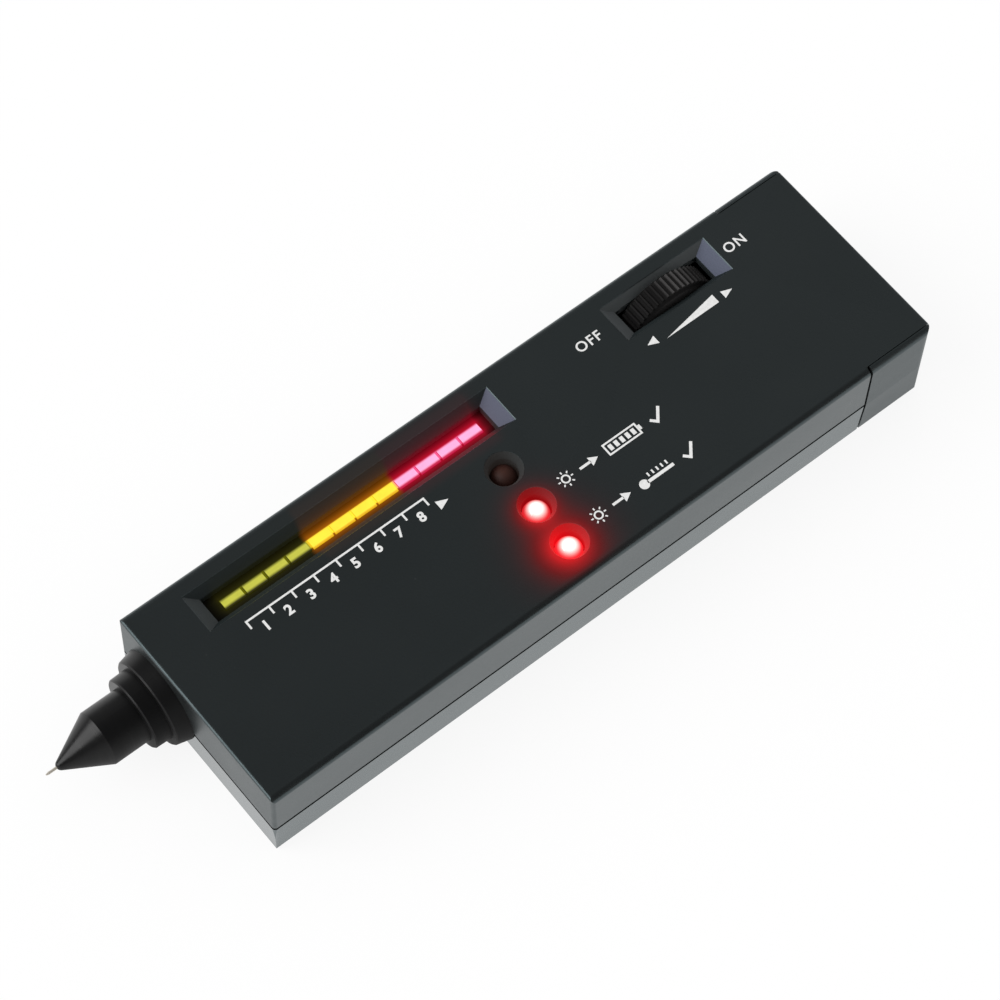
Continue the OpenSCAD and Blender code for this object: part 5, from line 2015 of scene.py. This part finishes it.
@dataclass
class Studio:
    """Floor, surround, light and camera.

    Attributes:
        lens: focal length on the camera's own film width.
        stand: the camera's place.
        right, up, back: the camera's own directions.
        near, far: what the camera sees, in metres.
        floor: half the floor's side.
        gap: how far the floor lies under the part.
        paper: the floor's colour where it is lit.
        shown: share of the floor's white that no shadow touches.
        sky: light from all round.
        overhead: what a mirror sees above the horizon in front.
        far_side: how much brighter that is behind.
        behind, turn: direction of the far side on the ground, and cosines between which it begins.
        horizon: heights between which the white near the floor ends.
        key_from: direction that the main light comes from.
        key: strength of the main light.
        key_spread: how wide the main light is, in degrees.
    """

    lens: float = 132.23
    stand: Triple = (-201.85, -218.16, 572.58)
    right: Triple = (0.77771, -0.62812, 0.02513)
    up: Triple = (0.54675, 0.69561, 0.46604)
    back: Triple = (-0.3102, -0.3487, 0.88441)
    near: float = 0.01
    far: float = 50.0
    floor: float = 4000.0
    gap: float = 0.1
    paper: Colour = (0.95, 0.95, 0.95)
    shown: float = 0.88
    sky: float = 0.73
    overhead: float = 0.05
    far_side: float = 0.22
    behind: Point = (0.8, 0.6)
    turn: Point = (0.2, 0.6)
    horizon: Point = (0.06, 0.25)
    key_from: Triple = (-0.755, 0.349, 0.555)
    key: float = 1.9
    key_spread: float = 50.0

    def rays(self, recipe: Recipe) -> tuple[Value, Value]:
        """Tells which rays show the background.

        Args:
            recipe: the nodes that ask.

        Returns:
            One for a ray from the camera, and one for that and for a ray off a gloss or through glass.
        """
        path = recipe.add("ShaderNodeLightPath").outputs
        kinds = "Camera", "Glossy", "Transmission"
        camera, gloss, glass = (Value(recipe, path[f"Is {kind} Ray"]) for kind in kinds)
        return camera, camera.most(gloss).most(glass)

    def set_floor(self) -> None:
        """Lays a white floor just under the part, which keeps a part of the shadow where it is seen."""
        corners = np.array([(-1, -1), (1, -1), (1, 1), (-1, 1)]) * self.floor
        points = np.column_stack([corners, np.full(len(corners), -self.gap)])
        mesh = bpy.data.meshes.new("floor")
        mesh.from_pydata((points * MM).tolist(), [], [[0, 1, 2, 3]])
        recipe = SurfaceRecipe("white paper")
        lit = recipe.add("ShaderNodeBsdfDiffuse", None, {"Color": self.paper}).outputs[0]
        white = recipe.add("ShaderNodeEmission", None, {"Color": WHITE, "Strength": 1.0}).outputs[0]
        _, seen = self.rays(recipe)
        surface = recipe.add("ShaderNodeMixShader", None, {0: seen * self.shown, 1: lit, 2: white})
        recipe.feed(recipe.tree.nodes["Material Output"].inputs["Surface"], surface.outputs[0])
        recipe.tree.nodes.remove(recipe.shader)
        mesh.materials.append(recipe.material)
        placed("floor", mesh)

    def set_surround(self) -> None:
        """Makes the surround white low down and dim overhead where it shows, and even where it lights."""
        world = bpy.data.worlds.new("surround")
        world.use_nodes = True
        bpy.context.scene.world = world
        recipe = Recipe(world.node_tree)
        way = recipe.add("ShaderNodeTexCoord").outputs["Generated"]
        parts = recipe.add("ShaderNodeSeparateXYZ", None, {0: way}).outputs
        along, across, height = (Value(recipe, part) for part in parts)
        far_side = (self.behind[0] * along + self.behind[1] * across).rise(*self.turn)
        above = self.overhead + self.far_side * far_side
        mirrored = above + height.fall(*self.horizon) * (1.0 - above)
        camera, seen = self.rays(recipe)
        shown = camera + (1.0 - camera) * mirrored
        background = world.node_tree.nodes["Background"]
        recipe.feed(background.inputs["Color"], WHITE)
        recipe.feed(background.inputs["Strength"], seen * shown + (1.0 - seen) * self.sky)

    def set_key(self) -> None:
        """Hangs one wide, soft light in front."""
        light = bpy.data.lights.new("key", "SUN")
        light.energy = self.key
        light.angle = np.radians(self.key_spread)
        made = placed("key", light)
        made.rotation_mode = "QUATERNION"
        made.rotation_quaternion = Vector(self.key_from).to_track_quat("Z", "Y")

    def set_camera(self) -> None:
        """Stands the camera where the picture was taken from."""
        camera = bpy.data.cameras.new("camera")
        camera.lens = self.lens
        camera.clip_start, camera.clip_end = self.near, self.far
        made = placed("camera", camera)
        turn = Matrix((self.right, self.up, self.back)).transposed().to_4x4()
        made.matrix_world = Matrix.Translation(Vector(self.stand) * MM) @ turn
        bpy.context.scene.camera = made

    def build(self) -> None:
        """Sets up the whole studio."""
        bpy.context.scene.view_settings.view_transform = "Standard"
        self.set_camera()
        self.set_floor()
        self.set_surround()
        self.set_key()


def main() -> None:
    """Builds the studio, and then dresses and builds each sub-assembly."""
    logging.basicConfig(level=logging.INFO, format="%(message)s")
    Studio().build()
    printer, lamps = Printer(), RoundLamps()
    housing = Housing(lamps.halos(), BarLight())
    for unit in (housing, LightBar(), lamps, WheelControl(), Probe(), CircuitBoard(), BatteryBay()):
        unit.dress()
        for piece in unit.build(printer):
            LOG.info("%s: %d faces", piece.name, len(piece.data.polygons))


if __name__ == "__main__":
    main()
